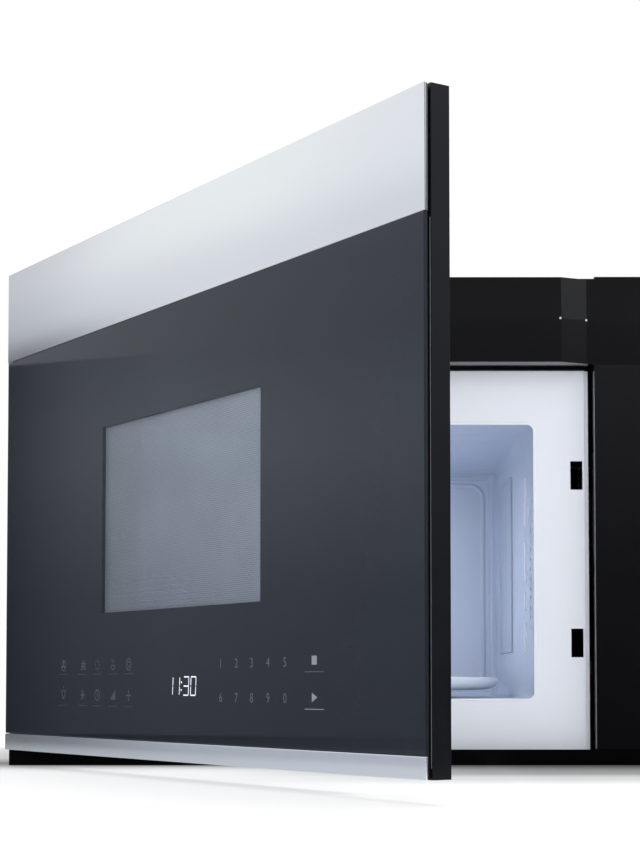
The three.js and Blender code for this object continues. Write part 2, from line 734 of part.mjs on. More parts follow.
function bottomPlate() {
  const hole = grown([0, SHEET], THROUGH);
  const plate = block([-INNER_X, INNER_X], [TOP_FRONT, INNER_BACK], [0, SHEET]);
  const filterHole = (x) => block(
    about(x, FILTER_WIDTH - 2 * FILTER_LEDGE),
    shrunk([FILTER_FRONT, FILTER_BACK], FILTER_LEDGE),
    hole,
  );
  const lampHole = block(about(0, LAMP_WIDTH), [LAMP_FRONT, LAMP_FRONT + LAMP_DEPTH], hole);
  return cut(plate, filterHole(-FILTER_OFFSET), filterHole(FILTER_OFFSET), lampHole);
}

function topPanel() {
  const hole = grown([CASE_TOP, BODY_HEIGHT], THROUGH);
  const sheet = block([-INNER_X, INNER_X], [TOP_FRONT, INNER_BACK], [CASE_TOP, BODY_HEIGHT]);
  const lip = block(
    [VENT_LEFT, INNER_X],
    [TOP_FRONT, TOP_FRONT + SHEET],
    [CASE_TOP - TOP_LIP, BODY_HEIGHT],
  );
  const exhaust = block(about(0, EXHAUST_WIDTH), [EXHAUST_FRONT, EXHAUST_BACK], hole);
  const cord = post(GLAND_X, GLAND_Y, hole, GLAND_NECK + FIT, 32);
  const bolts = [-BOLT_SPACING, 0, BOLT_SPACING].map(
    (x) => post(x, FRONT + BOLT_SETBACK, hole, BOLT_RADIUS, 16),
  );
  return cut(join(sheet, lip), exhaust, cord, ...bolts);
}

function backPanel() {
  const sheet = block([-INNER_X, INNER_X], [BACK - SHEET, BACK], [0, BODY_HEIGHT]);
  const slots = [-1.5, -0.5, 0.5, 1.5].map((place) => block(
    about(place * BACK_SLOT_PITCH, BACK_SLOT_WIDTH),
    grown([BACK - SHEET, BACK], THROUGH),
    [BACK_SLOT_Z, BACK_SLOT_Z + BACK_SLOT_HEIGHT],
  ));
  return cut(sheet, ...slots);
}

// The left wall has a front flange that the hinge brackets stand behind.
function leftSidePanel() {
  const wall = block([-HALF_WIDTH, -HALF_WIDTH + SHEET], [SIDE_FRONT, BACK], [0, BODY_HEIGHT]);
  const flange = block(
    [-HALF_WIDTH, CHOKE_LEFT - BRACKET_GAP],
    [SIDE_FRONT, SIDE_FRONT + SHEET],
    [TRIM_HEIGHT + FLANGE_INSET, DOOR_TOP - FLANGE_INSET],
  );
  return join(wall, flange);
}

function rightSidePanel() {
  return block([HALF_WIDTH - SHEET, HALF_WIDTH], [SIDE_FRONT, BACK], [0, BODY_HEIGHT]);
}

function bottomTrim() {
  const front = block([-HALF_WIDTH, HALF_WIDTH], [FRONT, FRONT + PLASTIC], [0, TRIM_HEIGHT]);
  const sole = block([-HALF_WIDTH, HALF_WIDTH], [FRONT, SIDE_FRONT - FIT], [0, PLASTIC]);
  const tongue = block([-INNER_X, INNER_X], [FRONT, TOP_FRONT - FIT], [0, PLASTIC]);
  return join(front, sole, tongue);
}

// ---------------------------------------------------------------- front

function frontPlate() {
  const z = [PLATE_BOTTOM, PLATE_TOP];
  const hole = grown([PLATE_FRONT, PLATE_BACK], THROUGH);
  const stepFront = PLATE_FRONT + PLATE_STEP;
  const plate = block([-INNER_X, PLATE_RIGHT], [PLATE_FRONT, PLATE_BACK], z);
  const web = block([PLATE_RIGHT - SHEET, PLATE_RIGHT], [PLATE_FRONT, stepFront + SHEET], z);
  const step = block(
    [PLATE_RIGHT - SHEET, PLATE_RIGHT + PLATE_STEP_WIDTH],
    [stepFront, stepFront + SHEET],
    z,
  );
  const topFlange = block(
    [-INNER_X, PLATE_RIGHT],
    [PLATE_FRONT, PLATE_FRONT + PLATE_FLANGE],
    [PLATE_TOP - SHEET, PLATE_TOP],
  );
  const opening = alongY(
    roundedOutline([CAVITY_LEFT, CAVITY_RIGHT], [CAVITY_FLOOR, CAVITY_TOP], CAVITY_CORNER),
    hole,
  );
  const slot = (slotZ) => block(
    [SLOT_LEFT, SLOT_LEFT + SLOT_WIDTH],
    hole,
    [slotZ, slotZ + SLOT_HEIGHT],
  );
  return cut(join(plate, web, step, topFlange), opening, slot(SLOT_LOWER_Z), slot(SLOT_UPPER_Z));
}

function rightCover() {
  const z = [TRIM_HEIGHT + SIDE_COVER_LIFT, SIDE_COVER_TOP];
  const edge = [FRONT, SIDE_FRONT - FIT];
  const front = block([SIDE_COVER_LEFT, HALF_WIDTH], [FRONT, FRONT + PLASTIC], z);
  const leftReturn = block(
    [SIDE_COVER_LEFT, SIDE_COVER_LEFT + PLASTIC],
    [FRONT, PLATE_FRONT + PLATE_STEP + SHEET],
    z,
  );
  const rightReturn = block([HALF_WIDTH - PLASTIC, HALF_WIDTH], edge, z);
  const topReturn = block([SIDE_COVER_LEFT, HALF_WIDTH], edge, [z[1] - PLASTIC, z[1]]);
  return join(front, leftReturn, rightReturn, topReturn);
}

// The two facets of the vent meet in a ridge; the loop is the section of one wall thickness.
function ventLoop(ridgeY, back) {
  const edge = ridgeY + VENT_LEAN;
  return [
    [back, VENT_BOTTOM_Z],
    [back, VENT_BOTTOM_Z + VENT_WALL],
    [edge + VENT_WALL, VENT_BOTTOM_Z + VENT_WALL],
    [ridgeY + VENT_WALL, VENT_RIDGE_Z],
    [edge + VENT_WALL, VENT_TOP_Z - VENT_WALL],
    [back, VENT_TOP_Z - VENT_WALL],
    [back, VENT_TOP_Z],
    [edge, VENT_TOP_Z],
    [ridgeY, VENT_RIDGE_Z],
    [edge, VENT_BOTTOM_Z],
  ];
}

function ventCover() {
  const flangeBack = TOP_FRONT - FIT;
  const soleBack = PLATE_FRONT - FIT;
  const soleZ = [VENT_BOTTOM_Z, VENT_BOTTOM_Z + VENT_WALL];
  const section = (x, proud) => ({ at: x, points: ventLoop(FRONT - proud, flangeBack) });
  const geometry = skinned([
    section(VENT_LEFT, VENT_PROUD),
    section(VENT_FLAT_RIGHT, VENT_PROUD),
    section(VENT_CHAMFER_RIGHT, VENT_END_PROUD),
    section(VENT_SEAM - FIT, VENT_END_PROUD),
  ]);
  geometry.applyMatrix4(CYCLE);
  const sole = block([VENT_LEFT, PLATE_RIGHT], [flangeBack - THROUGH, soleBack], soleZ);
  const lip = block(
    [VENT_LEFT, PLATE_RIGHT],
    [soleBack - VENT_WALL, soleBack],
    [PLATE_TOP + FIT, soleZ[1]],
  );
  const shelf = block(
    about(CAVITY_X, VENT_SHELF_WIDTH),
    [soleBack - THROUGH, PLATE_BACK + VENT_SHELF_DEPTH],
    soleZ,
  );
  const louvrePitch = (VENT_FLAT_RIGHT - VENT_LEFT - 2 * LOUVRE_END) / LOUVRE_COUNT;
  const louvreBack = flangeBack - LOUVRE_SETBACK;
  const louvres = times(LOUVRE_COUNT, (number) => block(
    about(VENT_LEFT + LOUVRE_END + louvrePitch * (number + 0.5), LOUVRE_WIDTH),
    [louvreBack - LOUVRE_DEPTH, louvreBack],
    grown([VENT_TOP_Z - VENT_WALL, VENT_TOP_Z], THROUGH),
  ));
  return cut(join(solid(geometry), sole, lip, shelf), ...louvres);
}

function ventCoverRight() {
  const edge = FRONT + VENT_LEAN;
  const bottom = SIDE_COVER_TOP + FIT;
  const flangeBack = TOP_FRONT - FIT;
  const facets = alongX(outline([
    [FRONT, VENT_RIDGE_Z],
    [edge, bottom],
    [edge + VENT_WALL, bottom],
    [FRONT + VENT_WALL, VENT_RIDGE_Z],
    [edge + VENT_WALL, BODY_HEIGHT - VENT_WALL],
    [flangeBack, BODY_HEIGHT - VENT_WALL],
    [flangeBack, BODY_HEIGHT],
    [edge, BODY_HEIGHT],
  ]), [VENT_SEAM, HALF_WIDTH]);
  const cheek = (x) => block([x, x + VENT_WALL], [edge, SIDE_FRONT - FIT], [bottom, BODY_HEIGHT]);
  const sideNotch = block(
    [INNER_X, HALF_WIDTH + THROUGH],
    [SIDE_FRONT - FIT, TOP_FRONT],
    [bottom, BODY_HEIGHT + THROUGH],
  );
  return cut(join(facets, cheek(HALF_WIDTH - VENT_WALL), cheek(VENT_SEAM)), sideNotch);
}

// ---------------------------------------------------------------- cavity

// A rounded rectangle in X and Z as a loop of points.
function cavityLoop(inset, drop, radius) {
  const shape = roundedOutline(
    shrunk([CAVITY_LEFT, CAVITY_RIGHT], inset),
    shrunk([CAVITY_FLOOR, CAVITY_TOP - drop], inset),
    radius,
  );
  return shape.getPoints(BEND_STEPS).slice(0, -1).map(({ x, y }) => [x, y]);
}

// The cavity's hollow, grown outwards by a wall, from its back to its front.
function cavityBody(wall, front) {
  const bend = CAVITY_BACK_RADIUS;
  const corner = CAVITY_CORNER + wall;
  const loops = times(BEND_STEPS + 1, (step) => {
    const angle = (step / BEND_STEPS) * (Math.PI / 2);
    const inset = (bend + wall) * (1 - Math.sin(angle)) - wall;
    const y = CAVITY_BACK - bend + (bend + wall) * Math.cos(angle);
    return { at: -y, points: cavityLoop(inset, CAVITY_TOP_FALL, corner) };
  });
  loops.push({ at: -front, points: cavityLoop(-wall, 0, corner) });
  const geometry = skinned(loops);
  geometry.rotateX(Math.PI / 2);
  return solid(geometry);
}

function cavityShell() {
  const outer = cavityBody(CAVITY_WALL, CAVITY_FRONT);
  const inner = cavityBody(0, CAVITY_FRONT - THROUGH);
  const flange = alongY(
    roundedOutline(
      grown([CAVITY_LEFT, CAVITY_RIGHT], CAVITY_FLANGE),
      grown([CAVITY_FLOOR, CAVITY_TOP], CAVITY_FLANGE),
      CAVITY_CORNER,
    ),
    [CAVITY_FRONT, CAVITY_FRONT + CAVITY_WALL],
  );
  const dish = (z, radius) => post(CAVITY_X, CAVITY_Y, z, radius, 48);
  const wellFloor = [TRACK_Z - CAVITY_WALL, TRACK_Z];
  const well = dish([wellFloor[0], CAVITY_FLOOR - CAVITY_WALL / 2], TRACK_RADIUS + CAVITY_WALL);
  const wellHollow = dish([TRACK_Z, CAVITY_FLOOR + THROUGH], TRACK_RADIUS);
  const shaftHole = dish(grown(wellFloor, THROUGH), SHAFT_HOLE_RADIUS);
  const wall = [CAVITY_RIGHT, CAVITY_RIGHT + CAVITY_WALL];
  const feed = block(
    grown(wall, THROUGH),
    about(GUIDE_Y, FEED_WIDTH),
    [MAGNETRON_Z - FEED_BELOW, MAGNETRON_Z + FEED_ABOVE],
  );
  const ports = times(PORT_COUNT, (row) => rod(
    'x',
    [middle(wall), PLATE_FRONT + PORT_SETBACK, CAVITY_FLOOR + PORT_FLOOR_GAP + row * PORT_PITCH],
    PORT_RADIUS,
    CAVITY_WALL + 2 * THROUGH,
    8,
  ));
  return cut(join(outer, flange, well), inner, wellHollow, shaftHole, feed, ...ports);
}

function waveguideCover() {
  return block(
    [CAVITY_RIGHT - FIT - SHEET, CAVITY_RIGHT - FIT],
    about(GUIDE_Y + FEED_COVER_SHIFT, FEED_COVER_WIDTH),
    [CAVITY_FLOOR + FEED_COVER_BELOW, CAVITY_TOP - FEED_COVER_ABOVE],
  );
}

// ---------------------------------------------------------------- turntable

function glassTurntable() {
  const low = GLASS_Z;
  const top = low + TABLE_HEIGHT;
  const upper = low + GLASS_THICKNESS;
  const rim = TABLE_RADIUS;
  const bend = rim - TABLE_RIM;
  const bevel = TABLE_LIP / 3;
  const dish = turned([
    [0, low],
    [bend, low],
    [rim - GLASS_THICKNESS, low + TABLE_RIM_RISE],
    [rim, top - bevel],
    [rim - bevel, top],
    [rim - TABLE_LIP, top],
    [rim - 3 * TABLE_LIP, upper + bevel],
    [bend - 2 * bevel, upper],
    [0, upper],
  ], CAVITY_X, CAVITY_Y);
  const lugs = times(3, (number) => {
    const geometry = new THREE.CylinderGeometry(LUG_RADIUS, LUG_RADIUS, LUG_HEIGHT, 12);
    geometry.rotateX(Math.PI / 2);
    geometry.translate(LUG_CIRCLE, 0, low - LUG_HEIGHT / 4);
    return aroundTable(geometry, turn(number + 0.5, 3));
  });
  return join(dish, ...lugs);
}

function turntableCoupler() {
  const top = GLASS_Z - FIT;
  const stemMiddle = top - STEM_LENGTH / 2;
  const hub = post(CAVITY_X, CAVITY_Y, [top - COUPLER_HEIGHT, top], COUPLER_RADIUS, 24);
  const stem = rod('z', [CAVITY_X, CAVITY_Y, stemMiddle], STEM_RADIUS, STEM_LENGTH, 24);
  const arms = times(3, (number) => {
    const geometry = new THREE.BoxGeometry(COUPLER_ARM, COUPLER_ARM_WIDTH, COUPLER_ARM_HEIGHT);
    geometry.translate(COUPLER_ARM / 2, 0, top - COUPLER_ARM_HEIGHT / 2);
    return aroundTable(geometry, turn(number, 3));
  });
  return join(hub, stem, ...arms);
}

function turntableMotor() {
  const top = TRACK_Z - CAVITY_WALL - FIT;
  const can = post(CAVITY_X, CAVITY_Y, [top - TABLE_MOTOR_HEIGHT, top], TABLE_MOTOR_RADIUS, 32);
  const ears = block(
    about(CAVITY_X, TABLE_MOTOR_EARS),
    about(CAVITY_Y, TABLE_MOTOR_EAR_WIDTH),
    [top - PLASTIC, top],
  );
  const plugY = CAVITY_Y + TABLE_MOTOR_RADIUS - PLASTIC * 2;
  const plugTop = top - TABLE_MOTOR_PLUG / 2;
  const plug = block(
    about(CAVITY_X, TABLE_MOTOR_PLUG),
    [plugY, plugY + TABLE_MOTOR_PLUG],
    [plugTop - TABLE_MOTOR_PLUG + PLASTIC, plugTop],
  );
  const bore = post(
    CAVITY_X,
    CAVITY_Y,
    [top - TABLE_MOTOR_HEIGHT + PLASTIC, top + THROUGH],
    STEM_RADIUS + RUNNING,
    24,
  );
  return cut(join(can, ears, plug), bore);
}

function rollerRing() {
  const radii = about(RING_RADIUS, RING_WIDTH);
  const heights = about(ROLLER_Z, RING_HEIGHT);
  const ring = turned([
    [radii[0], heights[0]],
    [radii[1], heights[0]],
    [radii[1], heights[1]],
    [radii[0], heights[1]],
  ], CAVITY_X, CAVITY_Y);
  const axle = [RING_RADIUS, ROLLER_TRACK + ROLLER_WIDTH / 2 + AXLE_END];
  const axles = times(3, (number) => {
    const geometry = new THREE.CylinderGeometry(AXLE_RADIUS, AXLE_RADIUS, axle[1] - axle[0], 16);
    geometry.rotateZ(-Math.PI / 2);
    geometry.translate(middle(axle), 0, ROLLER_Z);
    return aroundTable(geometry, turn(number, 3));
  });
  return join(ring, ...axles);
}

function roller(number) {
  const tyre = new THREE.CylinderGeometry(ROLLER_RADIUS, ROLLER_RADIUS, ROLLER_WIDTH, 24);
  const bore = new THREE.CylinderGeometry(
    AXLE_RADIUS + FIT,
    AXLE_RADIUS + FIT,
    ROLLER_WIDTH + 2 * THROUGH,
    16,
  );
  const seated = (geometry) => {
    geometry.rotateZ(-Math.PI / 2);
    geometry.translate(ROLLER_TRACK, 0, ROLLER_Z);
    return aroundTable(geometry, turn(number, 3));
  };
  return cut(seated(tyre), seated(bore));
}

// ---------------------------------------------------------------- interlock

const SWITCHES = {
  upper: { y: FIRST_SWITCH_Y, z: SLOT_UPPER_Z + SLOT_HEIGHT / 2 },
  lower: { y: FIRST_SWITCH_Y, z: SLOT_LOWER_Z + SLOT_HEIGHT / 2 },
  monitor: { y: FIRST_SWITCH_Y + SWITCH_PITCH, z: SLOT_LOWER_Z + SLOT_HEIGHT / 2 },
};

function latchBoard() {
  const z = grown([SLOT_LOWER_Z, SLOT_UPPER_Z + SLOT_HEIGHT], BOARD_OVERHANG);
  const flangeY = [PLATE_BACK + FIT, PLATE_BACK + BOARD_WALL];
  const flange = block([BOARD_LEFT, PLATE_RIGHT - SHEET - FIT], flangeY, z);
  const wall = block(
    [BOARD_LEFT, BOARD_LEFT + BOARD_WALL],
    [flangeY[0], PLATE_BACK + BOARD_DEPTH],
    z,
  );
  const gate = (slotZ) => block(
    [SWITCH_LEFT - FIT, PLATE_RIGHT],
    grown(flangeY, THROUGH),
    grown([slotZ, slotZ + SLOT_HEIGHT], GATE_MARGIN),
  );
  return cut(join(flange, wall), gate(SLOT_LOWER_Z), gate(SLOT_UPPER_Z));
}

function interlockSwitch({ y, z }) {
  const body = block([SWITCH_LEFT, SWITCH_RIGHT], about(y, SWITCH_THICKNESS), about(z, SWITCH_LENGTH));
  const bore = rod('x', [SWITCH_RIGHT, y, z], PLUNGER_RADIUS + FIT, 2 * PLUNGER_LENGTH, 16);
  return cut(body, bore);
}

function plunger({ y, z }) {
  const tip = HOOK_LEFT - 2 * FIT;
  return rod('x', [tip - PLUNGER_LENGTH / 2, y, z], PLUNGER_RADIUS, PLUNGER_LENGTH, 16);
}

// ---------------------------------------------------------------- microwave source and cooling

function waveguide() {
  const z = [MAGNETRON_Z - GUIDE_BELOW, MAGNETRON_Z + GUIDE_ABOVE];
  const shell = block([GUIDE_LEFT, GUIDE_RIGHT], about(GUIDE_Y, GUIDE_WIDTH), z);
  const hollow = block(
    [GUIDE_LEFT - THROUGH, GUIDE_RIGHT - GUIDE_SHEET],
    about(GUIDE_Y, GUIDE_WIDTH - 2 * GUIDE_SHEET),
    shrunk(z, GUIDE_SHEET),
  );
  const antennaHole = rod(
    'x',
    [GUIDE_RIGHT, GUIDE_Y, MAGNETRON_Z],
    ANTENNA_HOLE_RADIUS,
    2 * (GUIDE_SHEET + THROUGH),
    24,
  );
  return cut(shell, hollow, antennaHole);
}

function magnetron() {
  const left = GUIDE_RIGHT + FIT;
  const flangeRight = left + MAGNETRON_FLANGE_THICKNESS;
  const flange = block(
    [left, flangeRight],
    about(GUIDE_Y, MAGNETRON_FLANGE),
    about(MAGNETRON_Z, MAGNETRON_FLANGE),
  );
  const along = (start, radius, length) => rod(
    'x',
    [start + length / 2, GUIDE_Y, MAGNETRON_Z],
    radius,
    length,
    24,
  );
  const antenna = along(left - ANTENNA_LENGTH, ANTENNA_RADIUS, ANTENNA_LENGTH + THROUGH);
  const anode = along(left, ANODE_RADIUS, ANODE_LENGTH);
  const fins = times(FIN_COUNT, (number) => {
    const finLeft = left + (number + 1) * FIN_PITCH;
    return block(
      [finLeft, finLeft + FIN_THICKNESS],
      about(GUIDE_Y, FIN_SIZE),
      about(MAGNETRON_Z, FIN_SIZE),
    );
  });
  const yokes = [-1, 1].map((side) => block(
    [left, left + YOKE_LENGTH],
    about(GUIDE_Y, YOKE_WIDTH),
    about(MAGNETRON_Z + side * (YOKE_HALF_HEIGHT - YOKE_SHEET / 2), YOKE_SHEET),
  ));
  const chokeBox = block(
    [left + CHOKE_BOX_START, left + CHOKE_BOX_START + CHOKE_BOX_LENGTH],
    about(GUIDE_Y, CHOKE_BOX_WIDTH),
    about(MAGNETRON_Z, CHOKE_BOX_HEIGHT),
  );
  return join(flange, antenna, anode, ...fins, ...yokes, chokeBox);
}

function transformer() {
  const z = ON_BASE;
  const feet = block(
    about(TRANSFORMER_X, TRANSFORMER_LENGTH),
    about(TRANSFORMER_Y, TRANSFORMER_FEET_DEPTH),
    [z, z + TRANSFORMER_FEET_HEIGHT],
  );
  const core = block(
    about(TRANSFORMER_X, CORE_LENGTH),
    about(TRANSFORMER_Y, CORE_DEPTH),
    [z, z + CORE_HEIGHT],
  );
  const slots = [-1, 1].map((side) => block(
    about(TRANSFORMER_X, CORE_LENGTH + 2 * THROUGH),
    about(TRANSFORMER_Y + side * CORE_SLOT_OFFSET, CORE_SLOT_DEPTH),
    about(z + WINDING_Z, CORE_SLOT_HEIGHT),
  ));
  const winding = alongX(
    roundedOutline(
      about(TRANSFORMER_Y, WINDING_DEPTH),
      about(z + WINDING_Z, WINDING_HEIGHT),
      WINDING_CORNER,
    ),
    about(TRANSFORMER_X, WINDING_LENGTH),
  );
  return join(cut(core, ...slots), feet, winding);
}

function capacitor() {
  const top = ON_BASE + CAPACITOR_HEIGHT;
  const can = alongZ(
    roundedOutline(
      about(CAPACITOR_X, CAPACITOR_WIDTH),
      about(CAPACITOR_Y, CAPACITOR_DEPTH),
      CAPACITOR_CORNER,
    ),
    [ON_BASE, top],
  );
  const tabs = [-TAB_OFFSET, TAB_OFFSET].map((offset) => block(
    about(CAPACITOR_X + offset, TAB_WIDTH),
    about(CAPACITOR_Y, TAB_THICKNESS),
    [top - THROUGH, top + TAB_HEIGHT],
  ));
  return join(can, ...tabs);
}

function mainBoard() {
  const front = FRONT + MAIN_BOARD_SETBACK;
  const top = BODY_HEIGHT - MAIN_BOARD_DROP;
  const low = top - MAIN_BOARD_HEIGHT;
  const face = INNER_X - POST_LENGTH;
  const y = [front, front + MAIN_BOARD_LENGTH];
  const sheet = block([face - MAIN_BOARD_THICKNESS / 2, face + MAIN_BOARD_THICKNESS / 2], y, [low, top]);
  const posts = shrunk(y, POST_INSET).flatMap((postY) => shrunk([low, top], POST_INSET).map(
    (postZ) => rod('x', [INNER_X - POST_LENGTH / 2, postY, postZ], POST_RADIUS, POST_LENGTH, 12),
  ));
  const part = (height, start, length, base, width) => block(
    [face - height, face],
    [front + start, front + start + length],
    [low + base, low + base + width],
  );
  return join(
    sheet,
    ...posts,
    part(SUPPLY_HEIGHT, SUPPLY_INSET, SUPPLY_LENGTH, SUPPLY_Z, SUPPLY_WIDTH),
    part(RELAY_HEIGHT, RELAY_START, RELAY_LENGTH, RELAY_Z, RELAY_WIDTH),
    part(RELAY_HEIGHT, RELAY_START + RELAY_PITCH, RELAY_LENGTH, RELAY_Z, RELAY_WIDTH),
    part(CONNECTOR_HEIGHT, CONNECTOR_START, CONNECTOR_LENGTH, CONNECTOR_Z, CONNECTOR_WIDTH),
  );
}

function fanMotor() {
  const along = (radius, length, sides) => rod(
    'y',
    [FAN_X, FAN_REAR - length / 2, FAN_Z],
    radius,
    length,
    sides,
  );
  const plateY = [FAN_REAR - FAN_PLATE_SHEET, FAN_REAR];
  const plate = cut(
    block(about(FAN_X, FAN_PLATE), plateY, about(FAN_Z, FAN_PLATE)),
    block(
      about(FAN_X, FAN_SLOT_WIDTH),
      grown(plateY, THROUGH),
      about(FAN_Z + FAN_SLOT_Z, FAN_SLOT_HEIGHT),
    ),
  );
  const bore = FAN_RADIUS + SHROUD_ROOM;
  const shroud = cut(
    along(bore + SHROUD_WALL, SHROUD_LENGTH, 24),
    along(bore, SHROUD_LENGTH + THROUGH, 24),
  );
  return join(
    plate,
    shroud,
    along(FAN_MOTOR_RADIUS, FAN_MOTOR_LENGTH, 24),
    along(FAN_SHAFT_RADIUS, FAN_SHAFT_LENGTH, 16),
  );
}

function fanBlade() {
  const centre = [FAN_X, FAN_REAR - FAN_STANDOFF, FAN_Z];
  const hub = rod('y', centre, FAN_HUB_RADIUS, FAN_HUB_LENGTH, 20);
  const blades = times(FAN_BLADES, (number) => {
    const geometry = new THREE.BoxGeometry(
      FAN_RADIUS - FAN_BLADE_ROOT,
      FAN_BLADE_THICKNESS,
      FAN_BLADE_WIDTH,
    );
    geometry.rotateX(FAN_BLADE_PITCH);
    geometry.translate((FAN_RADIUS + FAN_BLADE_ROOT) / 2, 0, 0);
    geometry.rotateY(turn(number, FAN_BLADES));
    geometry.translate(...centre);
    return solid(geometry);
  });
  const bore = rod('y', centre, FAN_SHAFT_RADIUS + FIT, 2 * FAN_HUB_LENGTH, 16);
  return cut(join(hub, ...blades), bore);
}

function cavityLamp() {
  const x = CAVITY_RIGHT - CAVITY_LAMP_INSET;
  const y = PLATE_FRONT + CAVITY_LAMP_SETBACK;
  const base = CAVITY_TOP + CAVITY_WALL + FIT;
  const holderTop = base + LAMP_FOOT_HEIGHT + LAMP_HOLDER_HEIGHT;
  const foot = block(
    about(x, LAMP_FOOT_LENGTH),
    about(y, LAMP_FOOT_WIDTH),
    [base, base + LAMP_FOOT_HEIGHT],
  );
  const holder = post(x, y, [base, holderTop], LAMP_HOLDER_RADIUS, 24);
  const bulb = post(x, y, [base, holderTop + BULB_HEIGHT], BULB_RADIUS, 20);
  return join(foot, holder, bulb);
}

function cordGland() {
  const flangeTop = CASE_TOP - FIT;
  const z = [flangeTop - GLAND_FLANGE_HEIGHT, BODY_HEIGHT - GLAND_RECESS];
  const flange = post(GLAND_X, GLAND_Y, [z[0], flangeTop], GLAND_FLANGE, 24);
  const neck = post(GLAND_X, GLAND_Y, z, GLAND_NECK, 24);
  const bore = post(GLAND_X, GLAND_Y, grown(z, THROUGH), GLAND_BORE, 24);
  return cut(join(flange, neck), bore);
}

// ---------------------------------------------------------------- hood

function blowerMotor() {
  const centre = [0, EXHAUST_Y, BLOWER_Z];
  const can = rod('x', centre, BLOWER_MOTOR_RADIUS, BLOWER_MOTOR_LENGTH, 32);
  const shaft = rod('x', centre, BLOWER_SHAFT_RADIUS, 2 * (SCROLL_X + BLOWER_SHAFT_END), 16);
  return join(can, shaft);
}

function blowerWheel(side) {
  const disc = (place, radius, length, sides = 32) => rod(
    'x',
    [side * (SCROLL_X + place), EXHAUST_Y, BLOWER_Z],
    radius,
    length,
    sides,
  );
  const end = (WHEEL_WIDTH - WHEEL_DISC) / 2;
  const ring = cut(
    disc(end, WHEEL_RADIUS, WHEEL_DISC),
    disc(end, WHEEL_RADIUS - WHEEL_RIM, 2 * WHEEL_DISC),
  );
  const vanes = times(WHEEL_BLADES, (number) => {
    const geometry = new THREE.BoxGeometry(WHEEL_WIDTH, VANE_THICKNESS, VANE_DEPTH);
    geometry.rotateX(VANE_PITCH);
    geometry.translate(0, 0, WHEEL_RADIUS - VANE_INSET);
    geometry.rotateX(turn(number, WHEEL_BLADES));
    geometry.translate(side * SCROLL_X, EXHAUST_Y, BLOWER_Z);
    return solid(geometry);
  });
  const hub = disc(WHEEL_HUB_LENGTH / 2 - end, WHEEL_HUB_RADIUS, WHEEL_HUB_LENGTH, 20);
  const bore = disc(0, BLOWER_SHAFT_RADIUS + FIT, WHEEL_WIDTH + 2 * THROUGH, 16);
  return cut(join(disc(-end, WHEEL_RADIUS, WHEEL_DISC), hub, ring, ...vanes), bore);
}

// One scroll: a round wheel chamber that opens upwards into the damper.
function scroll(side, wall) {
  const x = about(side * SCROLL_X, 2 * (SCROLL_HALF - SCROLL_WALL + wall));
  const chamber = rod(
    'x',
    [middle(x), EXHAUST_Y, BLOWER_Z],
    WHEEL_RADIUS + SCROLL_ROOM + wall,
    x[1] - x[0],
    32,
  );
  const duct = block(
    x,
    about(EXHAUST_Y, 2 * (WHEEL_RADIUS - SCROLL_ROOM + wall)),
    [BLOWER_Z, DAMPER_BOTTOM - FIT + (wall ? 0 : THROUGH)],
  );
  return join(chamber, duct);
}

function blowerHousing() {
  const shells = [-1, 1].map((side) => cut(
    scroll(side, SCROLL_WALL),
    scroll(side, 0),
    rod(
      'x',
      [side * SCROLL_X, EXHAUST_Y, BLOWER_Z],
      WHEEL_RADIUS - SCROLL_INLET_RIM,
      2 * (SCROLL_HALF + THROUGH),
      32,
    ),
  ));
  const cradleLow = BLOWER_Z - BLOWER_MOTOR_RADIUS - CRADLE_BELOW;
  const cradle = block(
    about(0, 2 * (SCROLL_X - SCROLL_HALF + THROUGH)),
    about(EXHAUST_Y, CRADLE_WIDTH),
    [cradleLow, cradleLow + CRADLE_DEPTH],
  );
  const seat = rod(
    'x',
    [0, EXHAUST_Y, BLOWER_Z],
    BLOWER_MOTOR_RADIUS + FIT,
    2 * (SCROLL_X - SCROLL_HALF - SCROLL_ROOM),
    32,
  );
  return join(cut(cradle, seat), ...shells);
}

function damperFrame() {
  const z = [DAMPER_BOTTOM, CASE_TOP - FIT];
  const x = about(0, EXHAUST_WIDTH);
  const y = [EXHAUST_FRONT, EXHAUST_BACK];
  const outer = block(grown(x, DAMPER_WALL), grown(y, DAMPER_WALL), z);
  const inner = block(x, y, grown(z, THROUGH));
  const stop = block(
    grown(x, DAMPER_WALL / 2),
    [EXHAUST_FRONT - THROUGH, EXHAUST_FRONT + DAMPER_WALL],
    [DAMPER_BOTTOM, DAMPER_BOTTOM + DAMPER_STOP],
  );
  return join(cut(outer, inner), stop);
}

function damperFlap() {
  const leaf = block(
    about(0, EXHAUST_WIDTH - 4 * RUNNING),
    [EXHAUST_FRONT + 2 * RUNNING, FLAP_HINGE_Y],
    about(FLAP_Z, FLAP_THICKNESS),
  );
  const knuckle = rod('x', [0, FLAP_HINGE_Y, FLAP_Z], FLAP_KNUCKLE, EXHAUST_WIDTH - 2 * RUNNING, 16);
  return join(leaf, knuckle);
}

function charcoalFilter() {
  const z = [VENT_BOTTOM_Z + VENT_WALL + FIT, VENT_TOP_Z - CHARCOAL_TOP_GAP];
  const front = PLATE_BACK + CHARCOAL_GAP;
  const frame = block(about(CAVITY_X, CHARCOAL_WIDTH), [front, front + CHARCOAL_THICKNESS], z);
  const pitch = (CHARCOAL_WIDTH - 2 * CHARCOAL_POCKET_DEPTH) / CHARCOAL_POCKETS;
  const pockets = times(CHARCOAL_POCKETS, (number) => block(
    about(CAVITY_X + (number - (CHARCOAL_POCKETS - 1) / 2) * pitch, CHARCOAL_POCKET_WIDTH),
    [front - THROUGH, front + CHARCOAL_POCKET_DEPTH],
    shrunk(z, CHARCOAL_RIM),
  ));
  return cut(frame, ...pockets);
}

